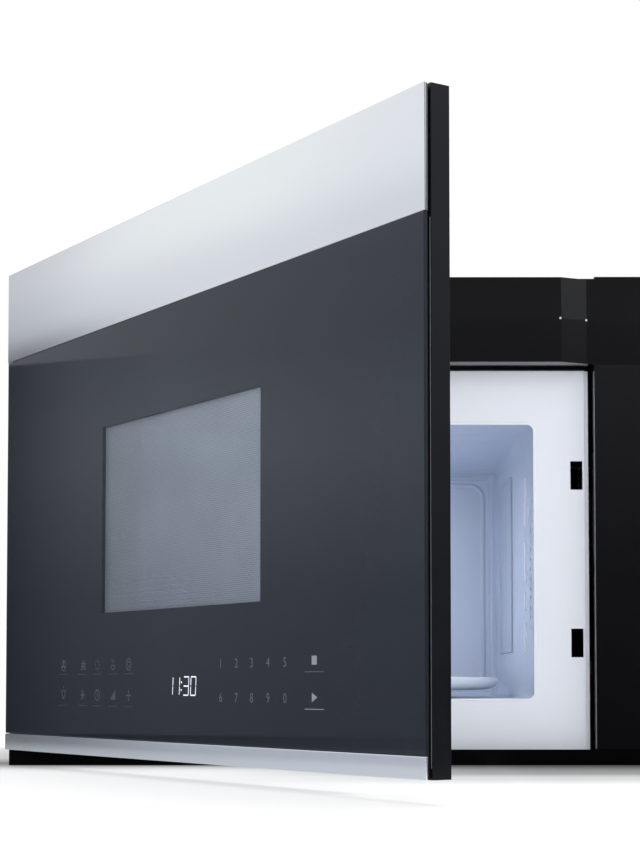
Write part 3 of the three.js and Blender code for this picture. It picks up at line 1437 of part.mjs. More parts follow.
function greaseFilter(side) {
  const x = about(side * FILTER_OFFSET, FILTER_WIDTH);
  const y = [FILTER_FRONT, FILTER_BACK - FILTER_TRAVEL];
  const z = [ON_BASE, ON_BASE + FILTER_THICKNESS];
  const pad = block(x, y, z);
  const recess = (height) => block(shrunk(x, FILTER_RIM), shrunk(y, FILTER_RIM), height);
  const inside = shrunk(y, FILTER_RIM);
  const pitch = (inside[1] - inside[0]) / (FILTER_RIBS + 1);
  const ribs = times(FILTER_RIBS, (number) => block(
    shrunk(x, FILTER_RIM - THROUGH),
    about(inside[0] + (number + 1) * pitch, FILTER_RIB_WIDTH),
    shrunk(z, FILTER_RIB_INSET),
  ));
  const web = cut(
    pad,
    recess([z[0] - THROUGH, z[0] + FILTER_RECESS]),
    recess([z[1] - FILTER_RECESS, z[1] + THROUGH]),
  );
  return join(web, ...ribs);
}

function hoodLamp() {
  const inner = [
    about(0, LAMP_WIDTH + 2 * LAMP_ROOM),
    grown([LAMP_FRONT, LAMP_FRONT + LAMP_DEPTH], LAMP_ROOM),
  ];
  const outer = inner.map((span) => grown(span, LAMP_WALL));
  const shell = cut(
    block(...outer, [ON_BASE, LAMP_HEIGHT]),
    block(...inner, [ON_BASE - THROUGH, LAMP_HEIGHT - LAMP_WALL]),
  );
  const emitters = [-EMITTER_PITCH, 0, EMITTER_PITCH].map((x) => block(
    about(x, EMITTER_SIZE),
    about(LAMP_FRONT + LAMP_DEPTH / 2, EMITTER_SIZE),
    [LAMP_HEIGHT - EMITTER_DROP, LAMP_HEIGHT - LAMP_WALL / 2],
  ));
  return join(shell, ...emitters);
}

function hoodLampCover() {
  return block(
    about(0, LAMP_WIDTH - 2 * RUNNING),
    [LAMP_FRONT + RUNNING, LENS_HINGE_Y + LAMP_WALL],
    [LENS_LIFT, LENS_LIFT + LENS_THICKNESS],
  );
}

// ---------------------------------------------------------------- hinges

// An arm reaches forward to the pin from a leg on the body; upwards is 1 or -1 for the leg's direction.
function hingeBracket(armBottom, upwards) {
  const armZ = [armBottom, armBottom + ARM_THICKNESS];
  const legBack = LEG_FRONT + ARM_THICKNESS;
  const legZ = upwards > 0 ? [armZ[0], armZ[0] + BRACKET_LEG] : [armZ[1] - BRACKET_LEG, armZ[1]];
  const arm = block(about(PIN_X, 2 * ARM_HALF_WIDTH), [PIN_Y, legBack], armZ);
  const eye = post(PIN_X, PIN_Y, armZ, ARM_HALF_WIDTH + ARM_EYE_RIM, 24);
  const leg = block([-INNER_X, CHOKE_LEFT - BRACKET_GAP], [LEG_FRONT, legBack], legZ);
  const pinHole = post(PIN_X, PIN_Y, grown(armZ, THROUGH), PIN_RADIUS + FIT, 24);
  return cut(join(arm, eye, leg), pinHole);
}

// The head lies on the arm's outer side and the shank runs inwards through it into the door.
function hingePin(armBottom, inwards) {
  const face = inwards > 0 ? armBottom : armBottom + ARM_THICKNESS;
  const headFace = face - inwards * FIT;
  const headMiddle = headFace - (inwards * PIN_HEAD_HEIGHT) / 2;
  const shankMiddle = face + (inwards * PIN_LENGTH) / 2;
  return join(
    rod('z', [PIN_X, PIN_Y, shankMiddle], PIN_RADIUS, PIN_LENGTH + 2 * FIT, 24),
    rod('z', [PIN_X, PIN_Y, headMiddle], PIN_RADIUS + PIN_HEAD_RIM, PIN_HEAD_HEIGHT, 24),
  );
}

// ---------------------------------------------------------------- door, drawn closed

function doorFrame() {
  const x = [-HALF_WIDTH, HALF_WIDTH];
  const z = [DOOR_BOTTOM, DOOR_TOP];
  const through = [LAYER_BACK, FRAME_FLOOR + THROUGH];
  const low = DOOR_BOTTOM + ARM_RECESS;
  const high = DOOR_TOP - ARM_RECESS;
  const tray = cut(
    block(x, [FRAME_FRONT, DOOR_BACK], z),
    block(
      shrunk(x, FRAME_SIDE_WALL),
      [FRAME_FLOOR, DOOR_BACK + THROUGH],
      shrunk(z, FRAME_WALL),
    ),
  );
  const land = block(
    shrunk(x, LAND_INSET),
    [FRAME_FRONT - SHADOW_GAP, FRAME_FRONT + THROUGH],
    shrunk(z, LAND_INSET),
  );
  const openings = [
    block(
      [VENT_LEFT - VENT_POCKET_SIDE, VENT_SEAM + VENT_POCKET_END],
      through,
      [BAND_BOTTOM + VENT_POCKET_BELOW, DOOR_TOP - VENT_POCKET_ABOVE],
    ),
    block(
      about(0, WINDOW_WIDTH + 2 * WINDOW_MARGIN),
      through,
      about(WINDOW_Z, WINDOW_HEIGHT + 2 * WINDOW_MARGIN),
    ),
    block(
      about(DISPLAY_X, DISPLAY_WIDTH),
      through,
      about(DOOR_BOTTOM + DISPLAY_ABOVE_DOOR_BOTTOM, DISPLAY_HEIGHT),
    ),
  ];
  const boss = (bossZ) => block(
    [x[0] + THROUGH, CHOKE_LEFT - CHOKE_RIM],
    [FRAME_FRONT, DOOR_BACK - DOOR_GAP],
    bossZ,
  );
  const pads = shrunk([CHOKE_LEFT, CHOKE_RIGHT], PAD_INSET).flatMap((padX) => (
    shrunk([CHOKE_BOTTOM, CHOKE_TOP], PAD_INSET).map((padZ) => block(
      about(padX, PAD_SIZE),
      [FRAME_FLOOR - THROUGH, CHOKE_FRONT - FIT],
      about(padZ, PAD_SIZE),
    ))
  ));
  const guideTop = LUG_Z - GUIDE_GAP;
  const guide = (guideLeft) => block(
    [guideLeft, guideLeft + GUIDE_WALL],
    [FRAME_FLOOR - THROUGH, LATCH_BACK - THROUGH],
    [guideTop - GUIDE_LENGTH, guideTop],
  );
  const latchX = [HOOK_LEFT, HOOK_LEFT + HOOK_THICKNESS];
  const springLug = cut(
    block(
      grown(latchX, LUG_WING),
      [FRAME_FLOOR - THROUGH, LATCH_BACK],
      [SPRING_TOP + FIT, SPRING_TOP + FIT + LUG_THICKNESS],
    ),
    block(
      grown(latchX, FIT),
      [FRAME_FLOOR, LATCH_FRONT + LATCH_NECK + FIT],
      grown([SPRING_TOP, SPRING_TOP + LUG_THICKNESS], THROUGH),
    ),
  );
  const frame = join(
    cut(join(tray, land), ...openings),
    boss([low, low + PIN_LENGTH]),
    boss([high - PIN_LENGTH, high]),
    ...pads,
    guide(latchX[0] - FIT - GUIDE_WALL),
    guide(latchX[1] + FIT),
    springLug,
  );
  const armRecess = (armZ) => block(
    [x[0] - THROUGH, PIN_X + RECESS_REACH],
    [LAYER_BACK, DOOR_BACK + THROUGH],
    armZ,
  );
  const bore = (boreZ) => post(PIN_X, PIN_Y, grown(boreZ, THROUGH / 2), PIN_RADIUS + FIT, 24);
  return cut(
    frame,
    armRecess([z[0] - THROUGH, low]),
    armRecess([high, z[1] + THROUGH]),
    bore([low, low + PIN_LENGTH]),
    bore([high - PIN_LENGTH, high]),
  );
}

function doorTopTrim() {
  return chamferedPlate(
    [-HALF_WIDTH, HALF_WIDTH],
    [DOOR_FRONT, LAYER_BACK],
    [BAND_BOTTOM, DOOR_TOP],
    EDGE_CHAMFER,
  );
}

function doorBottomTrim() {
  return chamferedPlate(
    [-HALF_WIDTH, HALF_WIDTH],
    [DOOR_FRONT, LAYER_BACK],
    [DOOR_BOTTOM, STRIP_TOP],
    EDGE_CHAMFER,
  );
}

function doorGlass() {
  return chamferedPlate(
    shrunk([-HALF_WIDTH, HALF_WIDTH], GLASS_SIDE_INSET),
    [DOOR_FRONT, LAYER_BACK],
    shrunk([STRIP_TOP, BAND_BOTTOM], TRIM_SEAM),
    EDGE_CHAMFER / 2,
  );
}

// A pressed pan: outer walls, a flat land round the cavity opening, and a screen sunk towards the glass.
function chokePanel() {
  const x = [CHOKE_LEFT, CHOKE_RIGHT];
  const z = [CHOKE_BOTTOM, CHOKE_TOP];
  const y = [CHOKE_FRONT, CHOKE_BACK];
  const screenX = about(0, WINDOW_WIDTH + 2 * (WINDOW_MARGIN - THROUGH));
  const screenZ = about(WINDOW_Z, WINDOW_HEIGHT + 2 * (WINDOW_MARGIN - THROUGH));
  const pan = cut(
    block(x, y, z),
    block(shrunk(x, SHEET), [y[0] - THROUGH, y[1] - SHEET], shrunk(z, SHEET)),
  );
  const well = block(screenX, y, screenZ);
  const hollow = block(
    shrunk(screenX, SHEET),
    [y[0] + SHEET, y[1] + THROUGH],
    shrunk(screenZ, SHEET),
  );
  return cut(join(pan, well), hollow);
}

function chokeCover() {
  const y = [CHOKE_BACK + FIT, CHOKE_BACK + FIT + CHOKE_COVER_THICKNESS];
  const frame = alongY(
    roundedOutline(
      grown([CHOKE_LEFT, CHOKE_RIGHT], CHOKE_RIM),
      grown([CHOKE_BOTTOM, CHOKE_TOP], CHOKE_RIM),
      PANE_CORNER,
    ),
    y,
  );
  const window = alongY(
    roundedOutline(
      about(0, PANE_WIDTH + 2 * FIT),
      about(WINDOW_Z, PANE_HEIGHT + 2 * FIT),
      PANE_CORNER,
    ),
    grown(y, THROUGH),
  );
  return cut(frame, window);
}

function innerWindow() {
  return alongY(
    roundedOutline(about(0, PANE_WIDTH), about(WINDOW_Z, PANE_HEIGHT), PANE_CORNER),
    [CHOKE_BACK + FIT, CHOKE_BACK + FIT + PANE_THICKNESS],
  );
}

function touchBoard() {
  const x = [-HALF_WIDTH + TOUCH_LEFT_INSET, CHOKE_RIGHT - TOUCH_RIGHT_INSET];
  const y = [FRAME_FLOOR + FIT, CHOKE_FRONT - FIT];
  const low = DOOR_BOTTOM + TOUCH_ABOVE_DOOR_BOTTOM;
  const sheet = block(x, y, [low, low + TOUCH_HEIGHT]);
  const pitch = (x[1] - x[0]) / (CHIP_COUNT + 1);
  const chips = times(CHIP_COUNT, (number) => block(
    about(x[0] + (number + 1) * pitch, CHIP_SIZE),
    [y[0], y[1] + CHIP_DEPTH],
    about(low + TOUCH_HEIGHT / 2, CHIP_SIZE),
  ));
  return join(sheet, ...chips);
}

// The latch plate slides up and down on the frame's floor; a hook reaches back from it at each latch slot.
function latchPlate() {
  const x = [HOOK_LEFT, HOOK_LEFT + HOOK_THICKNESS];
  const top = SLOT_UPPER_Z + SLOT_HEIGHT + LATCH_OVERHANG;
  const bar = block(
    x,
    [LATCH_FRONT, LATCH_BACK],
    [SLOT_LOWER_Z - LATCH_UNDER, LUG_Z + LUG_THICKNESS],
  );
  const upperBar = block(x, [LATCH_FRONT, LATCH_FRONT + LATCH_NECK], [LUG_Z, top]);
  const upperEnd = block(x, [LATCH_FRONT, LATCH_BACK], [SLOT_UPPER_Z + LATCH_HEAD, top]);
  const lug = block(
    grown(x, LUG_WING),
    [LATCH_FRONT + LUG_SETBACK, LATCH_BACK],
    [LUG_Z, LUG_Z + LUG_THICKNESS],
  );
  const hook = (slotZ, reach) => {
    const root = LATCH_BACK - THROUGH;
    const tip = DOOR_BACK + reach;
    return alongX(outline([
      [root, slotZ + HOOK_BOTTOM],
      [tip - HOOK_NOSE_ROOT, slotZ + HOOK_BOTTOM],
      [tip - HOOK_NOSE_BACK, slotZ + HOOK_NOSE_Z],
      [tip - HOOK_NOSE_FRONT, slotZ + HOOK_NOSE_Z],
      [tip, slotZ + HOOK_TIP_LOW],
      [tip, slotZ + HOOK_TIP_HIGH],
      [tip - HOOK_TIP_RAMP, slotZ + HOOK_TOP],
      [root, slotZ + HOOK_TOP],
    ]), x);
  };
  return join(
    bar,
    upperBar,
    upperEnd,
    lug,
    hook(SLOT_LOWER_Z, HOOK_REACH),
    hook(SLOT_UPPER_Z, HOOK_REACH - HOOK_STAGGER),
  );
}

class Helix extends THREE.Curve {
  constructor(x, y, z, radius, turns) {
    super();
    Object.assign(this, { x, y, z, radius, turns });
  }

  getPoint(t, target = new THREE.Vector3()) {
    const angle = t * this.turns * 2 * Math.PI;
    return target.set(
      this.x + this.radius * Math.cos(angle),
      this.y + this.radius * Math.sin(angle),
      this.z[0] + t * (this.z[1] - this.z[0]),
    );
  }
}

function latchSpring() {
  const path = new Helix(
    HOOK_LEFT + HOOK_THICKNESS / 2,
    LATCH_BACK - SPRING_RADIUS - THROUGH,
    shrunk([SPRING_BOTTOM, SPRING_TOP], SPRING_WIRE),
    SPRING_RADIUS,
    SPRING_TURNS,
  );
  const wire = outline(times(SPRING_SIDES, (side) => {
    const angle = turn(side, SPRING_SIDES);
    return [SPRING_WIRE * Math.cos(angle), SPRING_WIRE * Math.sin(angle)];
  }));
  return solid(new THREE.ExtrudeGeometry(wire, {
    steps: SPRING_TURNS * SPRING_STEPS,
    extrudePath: path,
    bevelEnabled: false,
  }));
}

// ---------------------------------------------------------------- assembly

const body = [
  piece('bottom_plate', bottomPlate(), 'blackPaint'),
  piece('top_panel', topPanel(), 'blackPaint'),
  piece('back_panel', backPanel(), 'blackPaint'),
  piece('left_side_panel', leftSidePanel(), 'blackPaint'),
  piece('right_side_panel', rightSidePanel(), 'blackPaint'),
  piece('bottom_trim', bottomTrim(), 'blackPlastic'),
  piece('front_plate', frontPlate(), 'whiteEnamel'),
  piece('right_cover', rightCover(), 'blackGloss'),
  piece('vent_cover', ventCover(), 'blackGloss'),
  piece('vent_cover_right', ventCoverRight(), 'blackGloss'),
  piece('cavity_shell', cavityShell(), 'cavityEnamel'),
  piece('waveguide_cover', waveguideCover(), 'whitePlastic'),
  piece('cavity_lamp', cavityLamp(), 'whitePlastic'),
  piece('turntable_motor', turntableMotor(), 'steel'),
  piece('turntable_coupler', turntableCoupler(), 'whitePlastic'),
  piece('roller_ring', rollerRing(), 'whitePlastic'),
  piece('roller_1', roller(0), 'whitePlastic'),
  piece('roller_2', roller(1), 'whitePlastic'),
  piece('roller_3', roller(2), 'whitePlastic'),
  piece('glass_turntable', glassTurntable(), 'clearGlass'),
  piece('latch_board', latchBoard(), 'whitePlastic'),
  piece('interlock_switch_upper', interlockSwitch(SWITCHES.upper), 'greyPlastic'),
  piece('interlock_switch_lower', interlockSwitch(SWITCHES.lower), 'greyPlastic'),
  piece('monitor_switch', interlockSwitch(SWITCHES.monitor), 'greyPlastic'),
  piece('switch_plunger_upper', plunger(SWITCHES.upper), 'whitePlastic'),
  piece('switch_plunger_lower', plunger(SWITCHES.lower), 'whitePlastic'),
  piece('switch_plunger_monitor', plunger(SWITCHES.monitor), 'whitePlastic'),
  piece('waveguide', waveguide(), 'aluminium'),
  piece('magnetron', magnetron(), 'aluminium'),
  piece('hv_transformer', transformer(), 'copper'),
  piece('hv_capacitor', capacitor(), 'aluminium'),
  piece('main_board', mainBoard(), 'circuit'),
  piece('fan_motor', fanMotor(), 'steel'),
  piece('fan_blade', fanBlade(), 'greyPlastic'),
  piece('blower_motor', blowerMotor(), 'steel'),
  piece('blower_wheel_left', blowerWheel(-1), 'greyPlastic'),
  piece('blower_wheel_right', blowerWheel(1), 'greyPlastic'),
  piece('blower_housing', blowerHousing(), 'steel'),
  piece('damper_frame', damperFrame(), 'steel'),
  piece('damper_flap', damperFlap(), 'aluminium'),
  piece('charcoal_filter', charcoalFilter(), 'charcoal'),
  piece('grease_filter_left', greaseFilter(-1), 'aluminium'),
  piece('grease_filter_right', greaseFilter(1), 'aluminium'),
  piece('hood_lamp', hoodLamp(), 'whitePlastic'),
  piece('hood_lamp_cover', hoodLampCover(), 'clearGlass'),
  piece('cord_gland', cordGland(), 'blackPlastic'),
  piece('hinge_bracket_top', hingeBracket(ARM_HIGH_Z, -1), 'steel'),
  piece('hinge_bracket_bottom', hingeBracket(ARM_LOW_Z, 1), 'steel'),
  piece('hinge_pin_top', hingePin(ARM_HIGH_Z, -1), 'steel'),
  piece('hinge_pin_bottom', hingePin(ARM_LOW_Z, 1), 'steel'),
];

const door = [
  piece('door_frame', doorFrame(), 'blackPlastic'),
  piece('door_glass', doorGlass(), 'blackGlass'),
  piece('door_top_trim', doorTopTrim(), 'stainless'),
  piece('door_bottom_trim', doorBottomTrim(), 'stainless'),
  piece('choke_panel', chokePanel(), 'greyPlastic'),
  piece('choke_cover', chokeCover(), 'blackPlastic'),
  piece('inner_window', innerWindow(), 'clearGlass'),
  piece('touch_board', touchBoard(), 'circuit'),
  piece('latch_plate', latchPlate(), 'whitePlastic'),
  piece('latch_spring', latchSpring(), 'steel'),
];

// The door is drawn closed and turned open about its pins.
const closedDoor = new THREE.Group();
closedDoor.position.set(-PIN_X, -PIN_Y, 0);
closedDoor.add(...door);

const openDoor = new THREE.Group();
openDoor.position.set(PIN_X, PIN_Y, 0);
openDoor.rotation.z = THREE.MathUtils.degToRad(-REST_ANGLE);
openDoor.add(closedDoor);

const microwave = new THREE.Group();
microwave.name = 'over_the_range_microwave';
microwave.add(...body, openDoor);

export default microwave;
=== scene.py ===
"""Looks of an over the range microwave with its door open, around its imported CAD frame."""

import math

import bmesh
import bpy
from mathutils import Euler, Matrix, Vector


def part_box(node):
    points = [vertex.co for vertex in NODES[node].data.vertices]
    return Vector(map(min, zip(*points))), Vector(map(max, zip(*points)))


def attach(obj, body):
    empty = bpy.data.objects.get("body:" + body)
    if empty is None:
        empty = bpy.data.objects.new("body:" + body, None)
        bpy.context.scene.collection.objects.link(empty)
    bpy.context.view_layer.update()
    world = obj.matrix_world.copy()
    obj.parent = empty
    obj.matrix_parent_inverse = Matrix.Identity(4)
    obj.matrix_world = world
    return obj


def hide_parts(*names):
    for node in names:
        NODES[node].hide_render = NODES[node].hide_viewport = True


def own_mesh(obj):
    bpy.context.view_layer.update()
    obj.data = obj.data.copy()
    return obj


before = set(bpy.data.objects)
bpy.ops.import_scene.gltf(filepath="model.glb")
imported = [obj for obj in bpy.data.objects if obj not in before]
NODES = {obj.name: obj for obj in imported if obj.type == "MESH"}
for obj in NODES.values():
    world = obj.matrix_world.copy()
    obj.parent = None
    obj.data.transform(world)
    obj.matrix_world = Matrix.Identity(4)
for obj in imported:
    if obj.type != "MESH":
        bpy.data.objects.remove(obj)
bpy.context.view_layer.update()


# ---------------------------------------------------------------- sizes

MM = 0.001
PIN = Vector((-0.290, -0.2045, 0))
DOOR_ANGLE = math.radians(-57.4)
# The door's pieces are drawn closed, as its CAD pieces are, and DOOR turns them to the rest pose.
DOOR = Matrix.Translation(PIN) @ Matrix.Rotation(DOOR_ANGLE, 4, "Z") @ Matrix.Translation(-PIN)
UNDOOR = DOOR.inverted()

# In millimetres, in the closed door's frame:
HALF_WIDTH = 302.5
BODY_TOP, BODY_BACK = 417.0, 196.0
PLATE_FRONT, CAVITY_BACK, RIGHT_WALL = -176.0, 182.0, 144.2
DOOR_FRONT, LAYER_BACK = -214.8, -212.1
STEEL_BACK = DOOR_FRONT + 1.3
DOOR_BOTTOM, STRIP_TOP, BAND_BOTTOM, DOOR_TOP = 13.5, 27.0, 341.1, 416.5
SEAM = 0.4
BACKING_INSET = 0.6
WINDOW_X, WINDOW_Z = (-118.0, 118.0), (122.4, 264.4)
FILM_LAP = 3
CHOKE_X, CHOKE_Z, CHOKE_Y = (-283.0, 172.0), (17.0, 337.0), (-205.9, -179.6)
SHEET = 1.2
SCREEN_X, SCREEN_Z = (-124.0, 124.0), (116.4, 270.4)
SCREEN_MARGIN_Y, SCREEN_Y, SCREEN_LAP = -205.3, -205.0, 2
TABLE_CENTRE = (-40.0, 3.0)
PRINT_Y = DOOR_FRONT - 0.06

# ---------------------------------------------------------------- materials


class Material:
    """A node material with a Principled shader, built up by short calls."""

    def __init__(self, name):
        self.data = bpy.data.materials.new(name)
        self.data.use_nodes = True
        self.tree = self.data.node_tree
        self.shader = self.tree.nodes["Principled BSDF"]
        self.coordinates = self.node("ShaderNodeTexCoord").outputs["Object"]

    def node(self, kind, inputs=None, **settings):
        made = self.tree.nodes.new(kind)
        for key, value in settings.items():
            setattr(made, key, value)
        for key, value in (inputs or {}).items():
            if isinstance(value, bpy.types.NodeSocket):
                self.tree.links.new(value, made.inputs[key])
            else:
                made.inputs[key].default_value = value
        return made

    def set(self, **values):
        for key, value in values.items():
            socket = self.shader.inputs[key.replace("_", " ")]
            if isinstance(value, bpy.types.NodeSocket):
                self.tree.links.new(value, socket)
            else:
                socket.default_value = value

    def mapped(self, scale=(1, 1, 1), door=False):
        """Object coordinates, turned back to the closed door's where the mesh is drawn open, and stretched."""
        source = self.coordinates
        if door:
            turned = UNDOOR.to_translation()
            source = self.node("ShaderNodeMapping", {
                "Vector": source, "Location": turned, "Rotation": (0, 0, -DOOR_ANGLE),
            }).outputs[0]
        return self.node("ShaderNodeMapping", {"Vector": source, "Scale": scale}).outputs[0]

    def noise(self, scale, detail=3.0, stretch=(1, 1, 1), door=False):
        return self.node("ShaderNodeTexNoise", {
            "Vector": self.mapped(stretch, door), "Scale": scale, "Detail": detail,
        }).outputs["Fac"]

    def ranged(self, value, low, high, from_low=0.3, from_high=0.7):
        return self.node("ShaderNodeMapRange", {
            "Value": value, "From Min": from_low, "From Max": from_high, "To Min": low, "To Max": high,
        }).outputs[0]

    def smooth(self, value, low, high, from_low, from_high):
        return self.node("ShaderNodeMapRange", {
            "Value": value, "From Min": from_low, "From Max": from_high, "To Min": low, "To Max": high,
        }, interpolation_type="SMOOTHSTEP").outputs[0]

    def math(self, operation, a, b=0.0):
        return self.node("ShaderNodeMath", {0: a, 1: b}, operation=operation).outputs[0]

    def blend(self, share, low, high):
        made = self.node("ShaderNodeMix", data_type="RGBA")
        for index, value in ((0, share), (6, low), (7, high)):
            if isinstance(value, bpy.types.NodeSocket):
                self.tree.links.new(value, made.inputs[index])
            else:
                made.inputs[index].default_value = value if index == 0 else (*value[:3], 1)
        return made.outputs[2]

    def relief(self, height, strength, distance, corner=0.0):
        inputs = {"Height": height, "Strength": strength, "Distance": distance}
        if corner:
            inputs["Normal"] = self.node("ShaderNodeBevel", {"Radius": corner}, samples=4).outputs[0]
        return self.node("ShaderNodeBump", inputs).outputs[0]


def shade(colour, share):
    return tuple(c * share for c in colour[:3])


def surface(name, colour, roughness, metallic=0.0, variation=0.06, patch=9.0, grain=900.0, depth=0.00003,
            strength=0.25, rough_change=0.05, stretch=(1, 1, 1), corner=0.0004, specular=0.5):
    """Colour with soft patches, roughness with smudges, and a fine grain in relief."""
    m = Material(name)
    patches = m.noise(patch, 4.0)
    fine = m.noise(grain, 2.0, stretch)
    tone = m.math("ADD", m.math("MULTIPLY", patches, 0.6), m.math("MULTIPLY", fine, 0.4))
    m.set(
        Base_Color=m.blend(m.ranged(tone, 0, 1), shade(colour, 1 - variation), shade(colour, 1 + variation)),
        Roughness=m.ranged(m.noise(patch * 4, 5.0), roughness - rough_change, roughness + rough_change),
        Metallic=metallic,
        Specular_IOR_Level=specular,
        Normal=m.relief(fine, strength, depth, corner),
    )
    return m


MATERIALS = {
    "black_paint": surface("black_paint", (0.017, 0.017, 0.020), 0.44, grain=1100, depth=0.00005, strength=0.35,
                           variation=0.06, rough_change=0.012, specular=0.4),
    "black_plastic": surface("black_plastic", (0.0040, 0.0044, 0.0060), 0.34, grain=2400, depth=0.00003, strength=0.2,
                             variation=0.1, specular=0.4),
    # Grey for painted light on edges: the highlight strip along the door frame's free edge, and the band's backing,
    # which stands in for the steel band's shaded side.
    "edge_grey_painted_light": surface("edge_grey_painted_light", (0.085, 0.088, 0.10), 0.38, grain=1500, depth=0.00002, strength=0.15,
                         variation=0.08, corner=0.0002),
    "trim_black": surface("trim_black", (0.001, 0.001, 0.0014), 0.5, grain=2000, depth=0.00003, strength=0.2,
                          variation=0.1, specular=0.06),
    "gloss_black": surface("gloss_black", (0.0028, 0.0028, 0.0038), 0.12, grain=300, depth=0.00001, strength=0.08,
                           variation=0.15, rough_change=0.03, specular=0.5),
    "black_glass": surface("black_glass", (0.013, 0.016, 0.0225), 0.04, patch=5, grain=60, depth=0.00001,
                           strength=0.02, variation=0.1, rough_change=0.015, corner=0.0003, specular=0.28),
    "stainless": surface("stainless", (0.885, 0.87, 0.865), 0.22, metallic=1.0, patch=3, grain=1.0,
                         stretch=(5, 5, 1500), depth=0.00001, strength=0.06, variation=0.012,
                         rough_change=0.012),
    # A less metallic, bluer copy of the band's steel: its diffuse brightness is painted light, standing in for the
    # floor's reflection in the strip.
    "stainless_strip_painted_light": surface("stainless_strip_painted_light", (0.84, 0.87, 0.93), 0.2, metallic=0.85, patch=3, grain=1.0,
                               stretch=(5, 5, 1500), depth=0.00001, strength=0.05, variation=0.02,
                               rough_change=0.01),
    "white_enamel": surface("white_enamel", (0.76, 0.785, 0.86), 0.26, grain=420, depth=0.00003, strength=0.06,
                            variation=0.008, patch=7, rough_change=0.006, corner=0.0012),
    "cavity_enamel": surface("cavity_enamel", (0.525, 0.585, 0.715), 0.24, grain=380, depth=0.00003, strength=0.05,
                             variation=0.012, patch=14, rough_change=0.015, corner=0.004),
    "cavity_enamel_cover": surface("cavity_enamel_cover", (0.41, 0.46, 0.57), 0.34, grain=300, depth=0.00002,
                                   strength=0.06, variation=0.015, patch=14, rough_change=0.015, corner=0.0004),
    "steel": surface("steel", (0.55, 0.56, 0.58), 0.34, metallic=1.0, patch=30, grain=500, depth=0.00002,
                     variation=0.08, rough_change=0.08),
    "aluminium": surface("aluminium", (0.72, 0.73, 0.75), 0.36, metallic=1.0, patch=24, grain=700,
                         depth=0.00002, variation=0.05),
    "grey_plastic": surface("grey_plastic", (0.17, 0.17, 0.18), 0.45, grain=1800, depth=0.00003),
    # A lighter copy of the white enamel: a painted highlight on the opening's bead and on the ribs of the cavity's
    # wall.
    "painted_highlight_enamel": surface("painted_highlight_enamel", (0.84, 0.86, 0.91), 0.2, grain=420, depth=0.00001, strength=0.05,
                            variation=0.008, patch=7, rough_change=0.01, corner=0.0002),
    "white_plastic": surface("white_plastic", (0.74, 0.74, 0.72), 0.38, grain=1500, depth=0.00002,
                             variation=0.02),
}


def screened_metal():
    """Expanded aluminium mesh: rows of small diamonds, darker in their openings."""
    m = Material("filter_mesh")
    cells = m.node("ShaderNodeTexVoronoi", {
        "Vector": m.mapped((1, 0.55, 0.3)), "Scale": 420, "Randomness": 0.25,
    }, feature="DISTANCE_TO_EDGE").outputs["Distance"]
    open_share = m.ranged(cells, 0, 1, 0.06, 0.22)
    m.set(
        Base_Color=m.blend(open_share, (0.62, 0.63, 0.65), (0.10, 0.10, 0.105)),
        Roughness=m.ranged(m.noise(60), 0.32, 0.5),
        Metallic=1.0,
        Normal=m.relief(m.math("SUBTRACT", 1.0, open_share), 0.8, 0.0006, 0.0003),
    )
    return m


def granules():
    """Charcoal grains behind a pleated sheet."""
    m = Material("charcoal")
    cells = m.node("ShaderNodeTexVoronoi", {"Vector": m.mapped(), "Scale": 480}).outputs["Distance"]
    m.set(
        Base_Color=m.blend(m.ranged(cells, 0, 1, 0, 0.7), (0.05, 0.05, 0.055), (0.008, 0.008, 0.009)),
        Roughness=m.ranged(m.noise(200), 0.7, 0.95),
        Normal=m.relief(cells, 0.7, 0.001),
    )
    return m


def board():
    """Green circuit board with paler tracks and solder spots."""
    m = Material("circuit")
    tracks = m.node("ShaderNodeTexVoronoi", {
        "Vector": m.mapped(), "Scale": 130, "Randomness": 0.9,
    }, feature="DISTANCE_TO_EDGE").outputs["Distance"]
    spots = m.node("ShaderNodeTexVoronoi", {"Vector": m.mapped(), "Scale": 260}).outputs["Distance"]
    lined = m.blend(m.ranged(tracks, 1, 0, 0.02, 0.05), (0.018, 0.10, 0.045), (0.05, 0.19, 0.09))
    m.set(
        Base_Color=m.blend(m.ranged(spots, 1, 0, 0.12, 0.17), lined, (0.6, 0.58, 0.5)),
        Roughness=m.ranged(m.noise(90), 0.3, 0.5),
        Normal=m.relief(tracks, 0.3, 0.0002, 0.0003),
    )
    return m


def windings():
    """Copper wire laid in close turns."""
    m = Material("winding")
    turns = m.node("ShaderNodeTexWave", {
        "Vector": m.mapped(), "Scale": 260, "Distortion": 0.6, "Detail": 1.0,
    }, bands_direction="Z").outputs["Fac"]
    m.set(
        Base_Color=m.blend(turns, (0.10, 0.035, 0.012), (0.52, 0.23, 0.09)),
        Roughness=m.ranged(m.noise(120), 0.28, 0.45),
        Metallic=0.85,
        Normal=m.relief(turns, 0.6, 0.0005, 0.0004),
    )
    return m


def tinted_pane(name, colour, alpha):
    """A thin see-through pane, with faint smears."""
    m = Material(name)
    m.set(
        Base_Color=m.blend(m.ranged(m.noise(7, door=True), 0, 1), shade(colour, 0.9), shade(colour, 1.1)),
        Roughness=m.ranged(m.noise(30, 5.0, door=True), 0.03, 0.07),
        Alpha=m.ranged(m.noise(11, door=True), alpha - 0.015, alpha + 0.015),
        IOR=1.7,
        Normal=m.relief(m.noise(40, door=True), 0.02, 0.00001),
    )
    return m


def painted_light_table_glass(name, colour, roughness=0.03):
    """The turntable's glass, pale and nearly opaque: its diffuse white-blue is painted light, standing in for the light
    a clear glass dish reflects and lets through.
    """
    m = Material(name)
    m.set(
        Base_Color=m.blend(m.ranged(m.noise(12), 0, 1), shade(colour, 0.97), colour),
        Roughness=m.ranged(m.noise(25, 4.0), roughness - 0.01, roughness + 0.03),
        Transmission_Weight=0.06,
        IOR=1.46,
        Normal=m.relief(m.noise(90), 0.05, 0.00005),
    )
    return m


